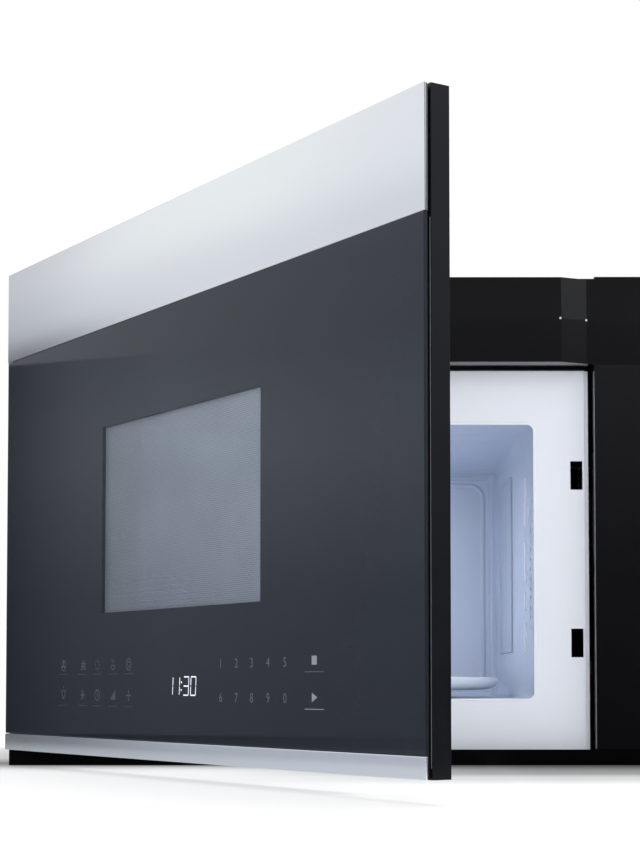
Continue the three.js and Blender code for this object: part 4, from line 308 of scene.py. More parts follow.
def perforated(name, colour, pitch=0.0024, radius=0.40, least=0.0, strength=0.3, painted_light_slope=0.0):
    """Painted sheet with fine round holes in staggered rows, in the closed door's X and Z.

    least is the opacity of a hole. The tone carries a painted light gradient over the window, of the share given last:
    darker towards its lower left corner, lighter towards its upper right one.
    """
    row_height = 0.866
    edge = 0.03
    m = Material(name)
    split = m.node("ShaderNodeSeparateXYZ", {0: m.mapped()})
    across = m.math("DIVIDE", split.outputs["X"], pitch)
    up = m.math("DIVIDE", split.outputs["Z"], pitch * row_height)
    row = m.math("FLOOR", up)
    shift = m.math("MULTIPLY", m.math("MODULO", m.math("ABSOLUTE", row), 2.0), 0.5)
    cell_x = m.math("SUBTRACT", m.math("FRACT", m.math("ADD", across, shift)), 0.5)
    cell_z = m.math("MULTIPLY", m.math("SUBTRACT", m.math("FRACT", up), 0.5), row_height)
    reach = m.math("SQRT", m.math("ADD", m.math("MULTIPLY", cell_x, cell_x), m.math("MULTIPLY", cell_z, cell_z)))
    metal = m.ranged(reach, 0, 1, radius - edge, radius + edge)
    # A painted light gradient: the tone rises from the window's lower left corner to its upper right one.
    rise = m.math("ADD", m.ranged(split.outputs["X"], -0.5, 0.5, WINDOW_X[0] * MM, WINDOW_X[1] * MM),
                  m.ranged(split.outputs["Z"], -0.5, 0.5, WINDOW_Z[0] * MM, WINDOW_Z[1] * MM))
    tone = m.math("ADD", m.math("MULTIPLY", m.ranged(m.noise(20), -1, 1), 0.08), m.math("MULTIPLY", rise, painted_light_slope))
    m.set(
        Base_Color=m.blend(m.ranged(tone, 0, 1, -0.5, 0.5), shade(colour, 0.5), shade(colour, 1.5)),
        Roughness=m.ranged(m.noise(60), 0.4, 0.55),
        Alpha=m.ranged(metal, least, 1, 0, 1),
        Normal=m.relief(metal, strength, 0.0002),
    )
    return m


def lamp_lens():
    """Frosted lens over the lamp, with small prisms."""
    m = Material("lens")
    prisms = m.node("ShaderNodeTexVoronoi", {"Vector": m.mapped(), "Scale": 260}).outputs["Distance"]
    m.set(
        Base_Color=m.blend(m.ranged(m.noise(20), 0, 1), (0.80, 0.84, 0.86), (0.88, 0.91, 0.92)),
        Roughness=m.ranged(m.noise(50), 0.12, 0.2),
        Alpha=m.ranged(m.noise(14), 0.42, 0.48),
        Normal=m.relief(prisms, 0.4, 0.0005, 0.0003),
    )
    return m


def print_ink(name, colour, glow):
    """Pale ink under glass, very slightly uneven."""
    m = Material(name)
    tone = m.blend(m.ranged(m.noise(700), 0, 1), shade(colour, 0.85), colour)
    m.set(
        Base_Color=tone,
        Roughness=m.ranged(m.noise(400), 0.25, 0.4),
        Emission_Color=tone,
        Emission_Strength=glow,
    )
    return m


MATERIALS.update(
    filter_mesh=screened_metal(),
    charcoal=granules(),
    circuit=board(),
    winding=windings(),
    clear_glass=painted_light_table_glass("clear_glass", (0.90, 0.96, 1.0)),
    door_pane=tinted_pane("door_pane", (0.10, 0.115, 0.14), 0.16),
    # The film's tone has a painted light gradient, darker at the window's lower left.
    film=perforated("film", (0.27, 0.315, 0.375), pitch=0.0016, radius=0.3, least=0.5, strength=0.05,
                    painted_light_slope=0.27),
    inner_pane=tinted_pane("inner_pane", (0.55, 0.60, 0.64), 0.12),
    screen=perforated("screen", (0.42, 0.45, 0.49)),
    lens=lamp_lens(),
    ink=print_ink("ink", (0.10, 0.11, 0.13), 0.0),
    bright_ink=print_ink("bright_ink", (0.27, 0.29, 0.33), 0.0),
    faint_ink=print_ink("faint_ink", (0.055, 0.06, 0.072), 0.0),
    digits=print_ink("digits", (0.72, 0.76, 0.84), 0.6),
)

FINISHES = {
    "black_paint": ["bottom_plate", "top_panel", "back_panel", "left_side_panel", "right_side_panel"],
    "black_plastic": ["cord_gland", "door_frame", "choke_cover"],
    "trim_black": ["bottom_trim"],
    "gloss_black": ["vent_cover", "vent_cover_right", "right_cover"],
    "white_enamel": ["front_plate"],
    "cavity_enamel": ["cavity_shell"],
    "cavity_enamel_cover": ["waveguide_cover"],
    "white_plastic": ["cavity_lamp", "turntable_coupler", "roller_ring", "roller_1",
                      "roller_2", "roller_3", "latch_board", "switch_plunger_upper", "switch_plunger_lower",
                      "switch_plunger_monitor", "hood_lamp", "latch_plate"],
    "grey_plastic": ["interlock_switch_upper", "interlock_switch_lower", "monitor_switch", "fan_blade",
                     "blower_wheel_left", "blower_wheel_right"],
    "steel": ["turntable_motor", "fan_motor", "blower_motor", "blower_housing", "damper_frame",
              "hinge_bracket_top", "hinge_bracket_bottom", "hinge_pin_top", "hinge_pin_bottom", "latch_spring"],
    "aluminium": ["waveguide", "magnetron", "hv_capacitor", "damper_flap"],
    "filter_mesh": ["grease_filter_left", "grease_filter_right"],
    "charcoal": ["charcoal_filter"],
    "circuit": ["main_board", "touch_board"],
    "winding": ["hv_transformer"],
    "inner_pane": ["inner_window"],
    "lens": ["hood_lamp_cover"],
}


def wear(piece, name):
    piece.data.materials.clear()
    piece.data.materials.append(MATERIALS[name].data)


for finish_name, node_names in FINISHES.items():
    for node_name in node_names:
        wear(NODES[node_name], finish_name)

# ---------------------------------------------------------------- pieces


def piece(name, bm, finish_name, body, replaced=(), slot_name=None, matrix=None, smooth=None, modifiers=()):
    """A mesh from bm, in millimetres, that rides on a body. Faces are smooth up to the angle smooth."""
    bmesh.ops.scale(bm, vec=(MM, MM, MM), verts=bm.verts)
    bmesh.ops.recalc_face_normals(bm, faces=bm.faces)
    if smooth is not None:
        for face in bm.faces:
            face.smooth = True
        for edge in bm.edges:
            if len(edge.link_faces) == 2:
                edge.smooth = edge.calc_face_angle(0) < math.radians(smooth)
    mesh = bpy.data.meshes.new(name)
    bm.to_mesh(mesh)
    bm.free()
    made = bpy.data.objects.new(name, mesh)
    bpy.context.scene.collection.objects.link(made)
    if matrix is not None:
        made.matrix_world = matrix
    for kind, settings in modifiers:
        modifier = made.modifiers.new(kind.title(), kind)
        for key, value in settings.items():
            setattr(modifier, key, value)
    wear(made, finish_name)
    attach(made, body)
    if replaced:
        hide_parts(*replaced)
    return made


def add_box(bm, x, y, z, bevel=0.0, segments=2, keep=None):
    """A box with its edges rounded, or only those for which keep(edge) holds."""
    made = bmesh.ops.create_cube(bm, size=1.0)["verts"]
    bmesh.ops.scale(bm, vec=(x[1] - x[0], y[1] - y[0], z[1] - z[0]), verts=made)
    bmesh.ops.translate(bm, vec=((x[0] + x[1]) / 2, (y[0] + y[1]) / 2, (z[0] + z[1]) / 2), verts=made)
    if bevel:
        edges = {edge for vert in made for edge in vert.link_edges if keep is None or keep(edge)}
        bmesh.ops.bevel(bm, geom=list(edges), offset=bevel, segments=segments, profile=0.6, affect="EDGES")
    return bm


def rounded_plate(x, y, z, bevel, segments=3):
    return add_box(bmesh.new(), x, y, z, bevel, segments)


def holed_plate(outer_x, outer_z, hole_x, hole_z, y, bevel):
    """A plate across Y with a rectangular opening, and its outer edges rounded."""
    bm = bmesh.new()
    xs = (outer_x[0], hole_x[0], hole_x[1], outer_x[1])
    zs = (outer_z[0], hole_z[0], hole_z[1], outer_z[1])
    layers = [[[bm.verts.new((x, depth, z)) for z in zs] for x in xs] for depth in y]
    for layer in layers:
        for i in range(3):
            for j in range(3):
                if (i, j) != (1, 1):
                    bm.faces.new((layer[i][j], layer[i + 1][j], layer[i + 1][j + 1], layer[i][j + 1]))
    front, back = layers
    for i in range(3):
        for j in (0, 3):
            bm.faces.new((front[i][j], front[i + 1][j], back[i + 1][j], back[i][j]))
            bm.faces.new((front[j][i], front[j][i + 1], back[j][i + 1], back[j][i]))
    for a, b in (((1, 1), (2, 1)), ((2, 1), (2, 2)), ((2, 2), (1, 2)), ((1, 2), (1, 1))):
        bm.faces.new((front[a[0]][a[1]], front[b[0]][b[1]], back[b[0]][b[1]], back[a[0]][a[1]]))
    bmesh.ops.recalc_face_normals(bm, faces=bm.faces)

    def on_rim(edge):
        spots = [vert.co for vert in edge.verts]
        rim = [
            all(abs(spot.x - side) < 1e-6 for spot in spots) for side in outer_x
        ] + [
            all(abs(spot.z - side) < 1e-6 for spot in spots) for side in outer_z
        ]
        return any(rim) and len({face.normal.to_tuple(3) for face in edge.link_faces}) > 1

    bmesh.ops.bevel(bm, geom=[edge for edge in bm.edges if on_rim(edge)], offset=bevel, segments=3,
                    profile=0.6, affect="EDGES")
    return bm


# Door front: brushed band and strip with their dark backing, and the black glass between them.
FRONT_X = (-HALF_WIDTH, HALF_WIDTH)
BACKING_X = (-HALF_WIDTH + BACKING_INSET, HALF_WIDTH - BACKING_INSET)
GLASS_X = (-HALF_WIDTH + 1, HALF_WIDTH - 1)
GLASS_Z = (STRIP_TOP + SEAM, BAND_BOTTOM - SEAM)
piece("door_band", rounded_plate(FRONT_X, (DOOR_FRONT, STEEL_BACK), (BAND_BOTTOM, DOOR_TOP), 0.5),
      "stainless", "door", ["door_top_trim"], "stainless", DOOR, 40)
# The band's backing is grey: painted shade, standing in for the steel band's side in shade.
piece("door_band_backing",
      rounded_plate(BACKING_X, (STEEL_BACK, LAYER_BACK), (BAND_BOTTOM, DOOR_TOP - 0.5), 0.2),
      "edge_grey_painted_light", "door", (), "black_plastic", DOOR, 40)
piece("door_strip", rounded_plate(FRONT_X, (DOOR_FRONT, STEEL_BACK), (DOOR_BOTTOM, STRIP_TOP), 0.6),
      "stainless_strip_painted_light", "door", ["door_bottom_trim"], "stainless", DOOR, 40)
piece("door_strip_backing",
      rounded_plate(BACKING_X, (STEEL_BACK, LAYER_BACK), (DOOR_BOTTOM + 0.4, STRIP_TOP), 0.2),
      "black_plastic", "door", (), "black_plastic", DOOR, 40)
# The glass stays flat-shaded, so that its reflections run straight to its edges.
piece("door_glass_sheet", holed_plate(GLASS_X, GLASS_Z, WINDOW_X, WINDOW_Z, (DOOR_FRONT, LAYER_BACK), 0.4),
      "black_glass", "door", ["door_glass"], "black_glass", DOOR)
piece("door_window_pane", rounded_plate(WINDOW_X, (DOOR_FRONT + 0.01, LAYER_BACK), WINDOW_Z, 0.02, 1),
      "door_pane", "door", (), "clear_glass", DOOR)


def choke_sheets():
    """Middle faces of the pan round the door's screen: its back sheet, its rim and the walls of its well."""
    bm = bmesh.new()
    half = SHEET / 2
    xs = (CHOKE_X[0] + half, SCREEN_X[0] + half, SCREEN_X[1] - half, CHOKE_X[1] - half)
    zs = (CHOKE_Z[0] + half, SCREEN_Z[0] + half, SCREEN_Z[1] - half, CHOKE_Z[1] - half)
    front = CHOKE_Y[0] + half
    back = CHOKE_Y[1] - half
    grid = {(i, j): bm.verts.new((xs[i], back, zs[j])) for i in range(4) for j in range(4)}
    for i in range(3):
        for j in range(3):
            if (i, j) != (1, 1):
                bm.faces.new((grid[i, j], grid[i + 1, j], grid[i + 1, j + 1], grid[i, j + 1]))
    for loop in (
        [(0, 0), (1, 0), (2, 0), (3, 0), (3, 1), (3, 2), (3, 3), (2, 3), (1, 3), (0, 3), (0, 2), (0, 1)],
        [(1, 1), (2, 1), (2, 2), (1, 2)],
    ):
        low = {spot: bm.verts.new((xs[spot[0]], front, zs[spot[1]])) for spot in loop}
        for a, b in zip(loop, loop[1:] + loop[:1]):
            bm.faces.new((grid[a], grid[b], low[b], low[a]))
    return bm


piece("choke_pan", choke_sheets(), "grey_plastic", "door", ["choke_panel"], "screen", DOOR, None,
      [("SOLIDIFY", {"thickness": SHEET * MM, "offset": 0.0})])


def screen_sheet():
    """The perforated sheet in the well, with a plain margin pressed a little forward."""
    bm = bmesh.new()
    xs = (SCREEN_X[0] + SHEET, WINDOW_X[0] - SCREEN_LAP, WINDOW_X[1] + SCREEN_LAP, SCREEN_X[1] - SHEET)
    zs = (SCREEN_Z[0] + SHEET, WINDOW_Z[0] - SCREEN_LAP, WINDOW_Z[1] + SCREEN_LAP, SCREEN_Z[1] - SHEET)
    grid = {
        (i, j): bm.verts.new((xs[i], SCREEN_MARGIN_Y if i in (0, 3) or j in (0, 3) else SCREEN_Y, zs[j]))
        for i in range(4) for j in range(4)
    }
    for i in range(3):
        for j in range(3):
            bm.faces.new((grid[i, j], grid[i + 1, j], grid[i + 1, j + 1], grid[i, j + 1]))
    return bm


def film_sheet():
    """The dotted film on the back of the window's glass."""
    bm = bmesh.new()
    x0, x1 = WINDOW_X[0] - FILM_LAP, WINDOW_X[1] + FILM_LAP
    z0, z1 = WINDOW_Z[0] - FILM_LAP, WINDOW_Z[1] + FILM_LAP
    corners = [(x0, z0), (x1, z0), (x1, z1), (x0, z1)]
    bm.faces.new([bm.verts.new((x, LAYER_BACK + 0.05, z)) for x, z in corners])
    return bm


piece("window_film", film_sheet(), "film", "door", (), "screen", DOOR)
piece("door_screen", screen_sheet(), "screen", "door", (), "screen", DOOR)

# ---------------------------------------------------------------- printed controls


class Print:
    """Flat marks on the glass, in the closed door's X and Z."""

    def __init__(self):
        self.bm = bmesh.new()

    def polygon(self, points):
        self.bm.faces.new([self.bm.verts.new((x, PRINT_Y, z)) for x, z in points])

    def bar(self, x0, z0, x1, z1, width=0.5):
        along = Vector((x1 - x0, z1 - z0)).normalized() * (width / 2)
        side = Vector((-along.y, along.x))
        self.polygon([(x0 - along.x + side.x, z0 - along.y + side.y), (x0 - along.x - side.x, z0 - along.y - side.y),
                      (x1 + along.x - side.x, z1 + along.y - side.y), (x1 + along.x + side.x, z1 + along.y + side.y)])

    def ring(self, x, z, radius, width=0.5, start=0.0, end=360.0, sides=28):
        turn = [math.radians(start + (end - start) * n / sides) for n in range(sides + 1)]
        for a, b in zip(turn, turn[1:]):
            spots = [(x + r * math.cos(t), z + r * math.sin(t)) for r, t in (
                (radius - width / 2, a), (radius + width / 2, a), (radius + width / 2, b), (radius - width / 2, b))]
            self.polygon(spots)

    def disc(self, x, z, radius, sides=16):
        self.polygon([(x + radius * math.cos(2 * math.pi * n / sides), z + radius * math.sin(2 * math.pi * n / sides))
                      for n in range(sides)])

    def text(self, body, x, z, height):
        """Plain numbers in Blender's own font, with the middle of the line at x, z."""
        curve = bpy.data.curves.new("number", "FONT")
        curve.body = body
        curve.size = height / 0.69
        curve.align_x, curve.align_y = "CENTER", "CENTER"
        holder = bpy.data.objects.new("number", curve)
        bpy.context.scene.collection.objects.link(holder)
        bpy.context.view_layer.update()
        mesh = bpy.data.meshes.new_from_object(holder.evaluated_get(bpy.context.evaluated_depsgraph_get()))
        mesh.transform(Matrix.Translation((x, PRINT_Y, z)) @ Euler((math.pi / 2, 0, 0)).to_matrix().to_4x4())
        self.bm.from_mesh(mesh)
        bpy.data.objects.remove(holder)
        bpy.data.curves.remove(curve)
        bpy.data.meshes.remove(mesh)

    def place(self, name, finish_name):
        return piece(name, self.bm, finish_name, "door", (), None, DOOR)


# The signs stand in columns and in an upper and a lower row, the numbers in rows of their own beside them.
FAN_X, WAVE_X, DOTS_X, CUP_X, PLATE_X = -186, -155, -125, -98, -72
SNOW_X, UPPER_Z, LOWER_Z, LAMP_Z = -151, 83, 60, 61
NUMBER_COLUMNS = (66, 87, 107, 128, 149)
START_X = (173, 195)

marks = Print()
for row, z in (("12345", 82), ("67890", 59)):
    for number, x in zip(row, NUMBER_COLUMNS):
        marks.text(number, x, z, 6.2)
marks.bar(START_X[0], 76.0, START_X[1], 76.0, 0.4)
# Fan: three blades in a ring.
marks.ring(FAN_X, UPPER_Z, 4.2)
for angle in (90, 210, 330):
    turned = math.radians(angle)
    marks.bar(FAN_X, UPPER_Z, FAN_X + 3 * math.cos(turned), UPPER_Z + 3 * math.sin(turned), 1.4)
# Lamp: a bulb with its cap and three rays.
marks.ring(FAN_X, LAMP_Z, 2.6, 0.6)
marks.bar(FAN_X - 1.2, 57.2, FAN_X + 1.2, 57.2, 0.8)
for angle in (30, 90, 150):
    turned = math.radians(angle)
    marks.bar(FAN_X + 4 * math.cos(turned), LAMP_Z + 4 * math.sin(turned),
              FAN_X + 5.4 * math.cos(turned), LAMP_Z + 5.4 * math.sin(turned), 0.6)
# Waves, ring of dots, cup and steam, plate.
for rise in (-2.2, 0, 2.2):
    for step in range(3):
        start = 0 if step % 2 else 180
        marks.ring(WAVE_X + 2.7 + 2.6 * step, UPPER_Z + rise, 1.3, 0.6, start, start + 180, 8)
for dot in range(8):
    turned = dot * math.pi / 4
    marks.disc(DOTS_X + 3.4 * math.cos(turned), UPPER_Z + 3.4 * math.sin(turned), 0.55, 10)
marks.ring(CUP_X, 82.4, 3.2, 0.6, 180, 360, 16)
marks.bar(CUP_X - 3.2, 82.4, CUP_X + 3.2, 82.4, 0.6)
for x in (CUP_X - 1.6, CUP_X + 1.6):
    marks.bar(x, 84.4, x, 87.0, 0.6)
marks.ring(PLATE_X, UPPER_Z, 4.2, 0.6)
marks.ring(PLATE_X, UPPER_Z, 2.2, 0.5)
# Snow star, clock, scale bars, plus.
for angle in (0, 60, 120):
    turned = math.radians(angle)
    marks.bar(SNOW_X - 3.8 * math.cos(turned), LOWER_Z - 3.8 * math.sin(turned),
              SNOW_X + 3.8 * math.cos(turned), LOWER_Z + 3.8 * math.sin(turned), 0.6)
marks.ring(DOTS_X, LOWER_Z, 4.0, 0.6)
marks.bar(DOTS_X, LOWER_Z, DOTS_X, LOWER_Z + 2.6, 0.6)
marks.bar(DOTS_X, LOWER_Z, DOTS_X + 1.8, LOWER_Z - 0.8, 0.6)
for step in range(4):
    marks.bar(CUP_X - 3 + 2 * step, 57.2, CUP_X - 3 + 2 * step, 58.4 + 1.5 * step, 1.1)
marks.bar(PLATE_X - 3.6, LOWER_Z, PLATE_X + 3.6, LOWER_Z, 0.7)
marks.bar(PLATE_X, LOWER_Z - 3.6, PLATE_X, LOWER_Z + 3.6, 0.7)
marks.place("control_marks", "ink")

# A square for stop and a triangle for start, over its line.
main_marks = Print()
main_marks.polygon([(181.0, 80.4), (187.0, 80.4), (187.0, 86.0), (181.0, 86.0)])
main_marks.polygon([(181.2, 57.0), (187.6, 60.0), (181.2, 63.0)])
main_marks.bar(START_X[0], 52.6, START_X[1], 52.6, 0.5)
main_marks.place("main_marks", "bright_ink")

faint = Print()
for z in (76.0, 51.8):
    for x in (FAN_X, SNOW_X, DOTS_X, CUP_X, PLATE_X):
        faint.bar(x - 8, z, x + 8, z, 0.4)
faint.place("control_lines", "faint_ink")

SEGMENTS = {"0": "abcdef", "1": "bc", "3": "abcdg"}


def clock_face():
    """The display's number in seven segments, with its colon."""
    face = Print()
    low, high = 60.6, 73.4
    middle = (low + high) / 2
    width, line, lean = 7.2, 0.9, 0.08

    def segment(x, name):
        x1, x2 = x + line / 2, x + width - line / 2
        spots = {
            "a": (x1, high, x2, high), "g": (x1, middle, x2, middle), "d": (x1, low, x2, low),
            "f": (x, middle, x, high), "b": (x + width, middle, x + width, high),
            "e": (x, low, x, middle), "c": (x + width, low, x + width, middle),
        }[name]
        x0, z0, x3, z3 = spots
        inset = 0.8
        if x0 == x3:
            z0, z3 = z0 + inset, z3 - inset
        leaned = [(spot_x + lean * (spot_z - low), spot_z) for spot_x, spot_z in ((x0, z0), (x3, z3))]
        face.bar(*leaned[0], *leaned[1], line)

    numbers, colon_x, colon_z = ((-10.4, "1"), (-0.4, "1"), (12.9, "3"), (23.2, "0")), 9.4, (64.2, 69.6)
    for x, number in numbers:
        for name in SEGMENTS[number]:
            segment(x, name)
    for z in colon_z:
        face.disc(colon_x + lean * (z - low), z, 0.8, 12)
    return face


clock_face().place("clock_digits", "digits")

# ---------------------------------------------------------------- turntable


def lathe(profile, centre, sides=128):
    """A closed profile of (radius, height) turned about a vertical line."""
    bm = bmesh.new()
    rings = []
    for side in range(sides):
        angle = 2 * math.pi * side / sides
        rings.append([
            bm.verts.new((centre[0] + r * math.cos(angle), centre[1] + r * math.sin(angle), z)) for r, z in profile
        ])
    for a, b in zip(rings, rings[1:] + rings[:1]):
        for k in range(len(profile)):
            n = (k + 1) % len(profile)
            corners = [a[k], b[k], b[n], a[n]]
            bm.faces.new(corners)
    bmesh.ops.remove_doubles(bm, verts=bm.verts, dist=1e-4)
    return bm


def dish_profile():
    """Half section of the turntable: a flat middle, a raised rim with a rolled lip, and a foot ring below."""
    return [
        (0.01, 68.0), (148.0, 68.0), (152.0, 68.4), (157.0, 70.0), (161.0, 72.6), (164.0, 74.4), (167.0, 75.0),
        (169.0, 74.5), (170.0, 73.2), (170.0, 71.6), (169.4, 69.4), (167.6, 67.0), (164.6, 65.0), (160.0, 63.6),
        (155.0, 63.1), (148.0, 63.0), (112.0, 63.0), (111.0, 62.99), (98.0, 62.99), (97.0, 63.0), (0.01, 63.0),
    ]


piece("turntable_dish", lathe(dish_profile(), TABLE_CENTRE), "clear_glass", "turntable", ["glass_turntable"],
      "clear_glass", None, 50)

# ---------------------------------------------------------------- fixings and small parts


def screw_heads(name, spots, normal, radius, finish_name="steel", slot_name="steel"):
    """Pan heads of the body with a cross recess, standing on spots and facing along normal."""
    bm = bmesh.new()
    turned = Vector(normal).to_track_quat("Z", "Y").to_matrix()
    sides = 24
    rise = radius * 0.42
    cross = [0.52 if n % 6 in (0, 5) else 0.17 for n in range(sides)]
    dome = ((1.0, -0.1), (1.0, 0.3), (0.94, 0.62), (0.8, 0.88), (0.62, 1.0))
    levels = [([share] * sides, high) for share, high in dome]
    levels += [(cross, 1.02), ([share * 0.9 for share in cross], 0.3)]
    for spot in spots:
        rings = []
        for shares, high in levels:
            rings.append([])
            for n, share in enumerate(shares):
                angle = 2 * math.pi * (n + 0.5) / sides
                local = Vector((radius * share * math.cos(angle), radius * share * math.sin(angle), rise * high))
                rings[-1].append(bm.verts.new(turned @ local + Vector(spot)))
        for a, b in zip(rings, rings[1:]):
            for n in range(sides):
                bm.faces.new((a[n], a[(n + 1) % sides], b[(n + 1) % sides], b[n]))
        bm.faces.new(rings[-1])
        bm.faces.new(list(reversed(rings[0])))
    return piece(name, bm, finish_name, "body", (), slot_name, None, 35)


def raised_bead(name, outline, normal, width, height, radius, finish_name, slot_name):
    """A pressed bead in a closed line with rounded corners, standing on a flat face of the body.

    outline gives the bead's reach across and up, seen along normal, and the face's distance along it.
    """
    bm = bmesh.new()
    turned = Vector(normal).to_track_quat("Z", "Y").to_matrix()
    (x0, x1), (y0, y1), level = outline
    path = []
    for cx, cy, start in ((x1 - radius, y1 - radius, 0), (x0 + radius, y1 - radius, 90),
                          (x0 + radius, y0 + radius, 180), (x1 - radius, y0 + radius, 270)):
        for step in range(9):
            angle = math.radians(start + 90 * step / 8)
            path.append((cx, cy, math.cos(angle), math.sin(angle)))
    section = [(-0.5, -0.1), (-0.42, 0.35), (-0.25, 0.8), (0.0, 1.0), (0.25, 0.8), (0.42, 0.35), (0.5, -0.1)]
    rings = []
    for cx, cy, dx, dy in path:
        rings.append([])
        for across, up in section:
            reach = radius + across * width
            local = Vector((cx + dx * reach, cy + dy * reach, level + up * height))
            rings[-1].append(bm.verts.new(turned @ local))
    for a, b in zip(rings, rings[1:] + rings[:1]):
        for k in range(len(section) - 1):
            bm.faces.new((a[k], b[k], b[k + 1], a[k + 1]))
    return piece(name, bm, finish_name, "body", (), slot_name, None, 60)


def latch_coil():
    """The latch's coil spring, wound where its CAD solid stands."""
    low, high = (Vector(corner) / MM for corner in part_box("latch_spring"))
    wire, turns, steps, sides = 0.45, 9, 24, 8
    radius = (high.x - low.x) / 2 - wire
    middle = (low + high) / 2
    bm = bmesh.new()
    rings = []
    for step in range(turns * steps + 1):
        angle = 2 * math.pi * step / steps
        rise = low.z + wire + (high.z - low.z - 2 * wire) * step / (turns * steps)
        rings.append([])
        for side in range(sides):
            round_wire = 2 * math.pi * side / sides
            reach = radius + wire * math.cos(round_wire)
            rings[-1].append(bm.verts.new((middle.x + reach * math.cos(angle), middle.y + reach * math.sin(angle),
                                           rise + wire * math.sin(round_wire))))
    for a, b in zip(rings, rings[1:]):
        for n in range(sides):
            bm.faces.new((a[n], b[n], b[(n + 1) % sides], a[(n + 1) % sides]))
    bm.faces.new(rings[0])
    bm.faces.new(list(reversed(rings[-1])))
    made = piece("latch_coil", bm, "steel", "door", ["latch_spring"], "steel", None, 60)
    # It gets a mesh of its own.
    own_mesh(made)


latch_coil()
screw_heads("back_screws", [(x, BODY_BACK, z) for x in (-292, 292) for z in (14, 140, 272, 404)]
            + [(x, BODY_BACK, 404) for x in (-180, 0, 180)], (0, 1, 0), 3.6)
for side_name, side in (("left", -1), ("right", 1)):
    wall = side * HALF_WIDTH
    screw_heads(side_name + "_side_screws", [(wall, y, 10) for y in (-150, 20, 180)]
                + [(wall, 180, 210), (wall, 180, 400)], (side, 0, 0), 3.4, "black_paint", "black_paint")
screw_heads("top_screws", [(x, y, BODY_TOP) for x in (-288, 288) for y in (-172, 5, 182)], (0, 0, 1), 3.4,
            "black_paint", "black_paint")
screw_heads("plate_screws", [(-288, PLATE_FRONT, z) for z in (70, 270)], (0, -1, 0), 3.2)
raised_bead("back_bead", ((-272, 272), (34, 384), BODY_BACK), (0, 1, 0), 9, 1.2, 22, "black_paint", "black_paint")
raised_bead("back_inner_bead", ((-236, 236), (70, 348), BODY_BACK), (0, 1, 0), 7, 1.0, 16, "black_paint",
            "black_paint")
raised_bead("cavity_back_bead", ((-212, 132), (68, 278), -CAVITY_BACK), (0, -1, 0), 5, 1.6, 14, "cavity_enamel",
            "cavity_enamel")
# The ribs on the cavity's right wall wear the lighter enamel, a painted highlight along their edges.
RIB_X, RIB_Y = (142.9, RIGHT_WALL), (-116, -112)
RIB_SPANS = ((96, 124), (134.5, 150), (159.5, 195.5), (209, 253))
for number, span in enumerate(RIB_SPANS):
    piece("cavity_rib_%d" % number, rounded_plate(RIB_X, RIB_Y, span, 0.5, 2),
          "painted_highlight_enamel", "body", (), "cavity_enamel", None, 40)
# The bead round the opening wears the lighter enamel too, a painted highlight on the opening's rim.
raised_bead("opening_bead", ((-225, 145), (55, 293), -PLATE_FRONT), (0, -1, 0), 2.0, 0.5, 6.5, "painted_highlight_enamel",
            "white_enamel")
# Two pale pins at the ends of the vent cover's chamfer, on the crease between its facets, are painted glints: their
# white stands in for light caught at those corners.
PAINTED_GLINT_SPOTS = [(163.9, -209.4, 378.2), (187.1, -199.9, 378.2)]
screw_heads("vent_painted_glints", PAINTED_GLINT_SPOTS, (0, -1, 0), 0.95, "white_plastic", "gloss_black")
# A pale strip where the door frame meets the glass, at the free end: a painted highlight along the frame's edge.
piece("frame_edge_painted_highlight", rounded_plate((301.1, 301.7), (-210.5, -209.9), (20, 338), 0.15, 1),
      "edge_grey_painted_light", "door", (), "black_plastic", DOOR)

# ---------------------------------------------------------------- stage, lights and camera, in metres

FOOT_HALF_X, FOOT_HALF_Y = 0.30, 0.194
FLOOR_WIDTH = 28.0
CARD_LIFT = 0.0004
# The cards to the left of the door stand at LEFT_X, with their middle at LEFT_Y.
LEFT_X, LEFT_Y, LEFT_LENGTH = -1.2, 0.3, 3.0
CAMERA_SPOT = (-0.03974, -1.76056, 0.06771)
CAMERA_PITCH = 2.726


def shown_rays(m):
    """1 for the rays that make the picture: straight, mirrored or through glass."""
    seen = m.node("ShaderNodeLightPath")
    return seen, m.math("MAXIMUM", m.math("MAXIMUM", seen.outputs["Is Camera Ray"], seen.outputs["Is Glossy Ray"]),
                        seen.outputs["Is Transmission Ray"])


def surface_socket(m):
    return next(node for node in m.tree.nodes if node.type == "OUTPUT_MATERIAL").inputs["Surface"]


def stage_grid(name, segments, width, height, finish, matrix):
    """A flat stage piece."""
    bm = bmesh.new()
    bmesh.ops.create_grid(bm, x_segments=segments, y_segments=segments, size=0.5)
    bmesh.ops.scale(bm, vec=(width, height, 1), verts=bm.verts)
    mesh = bpy.data.meshes.new(name)
    bm.to_mesh(mesh)
    bm.free()
    made = bpy.data.objects.new(name, mesh)
    made.matrix_world = matrix
    bpy.context.scene.collection.objects.link(made)
    mesh.materials.append(finish.data)
    return made


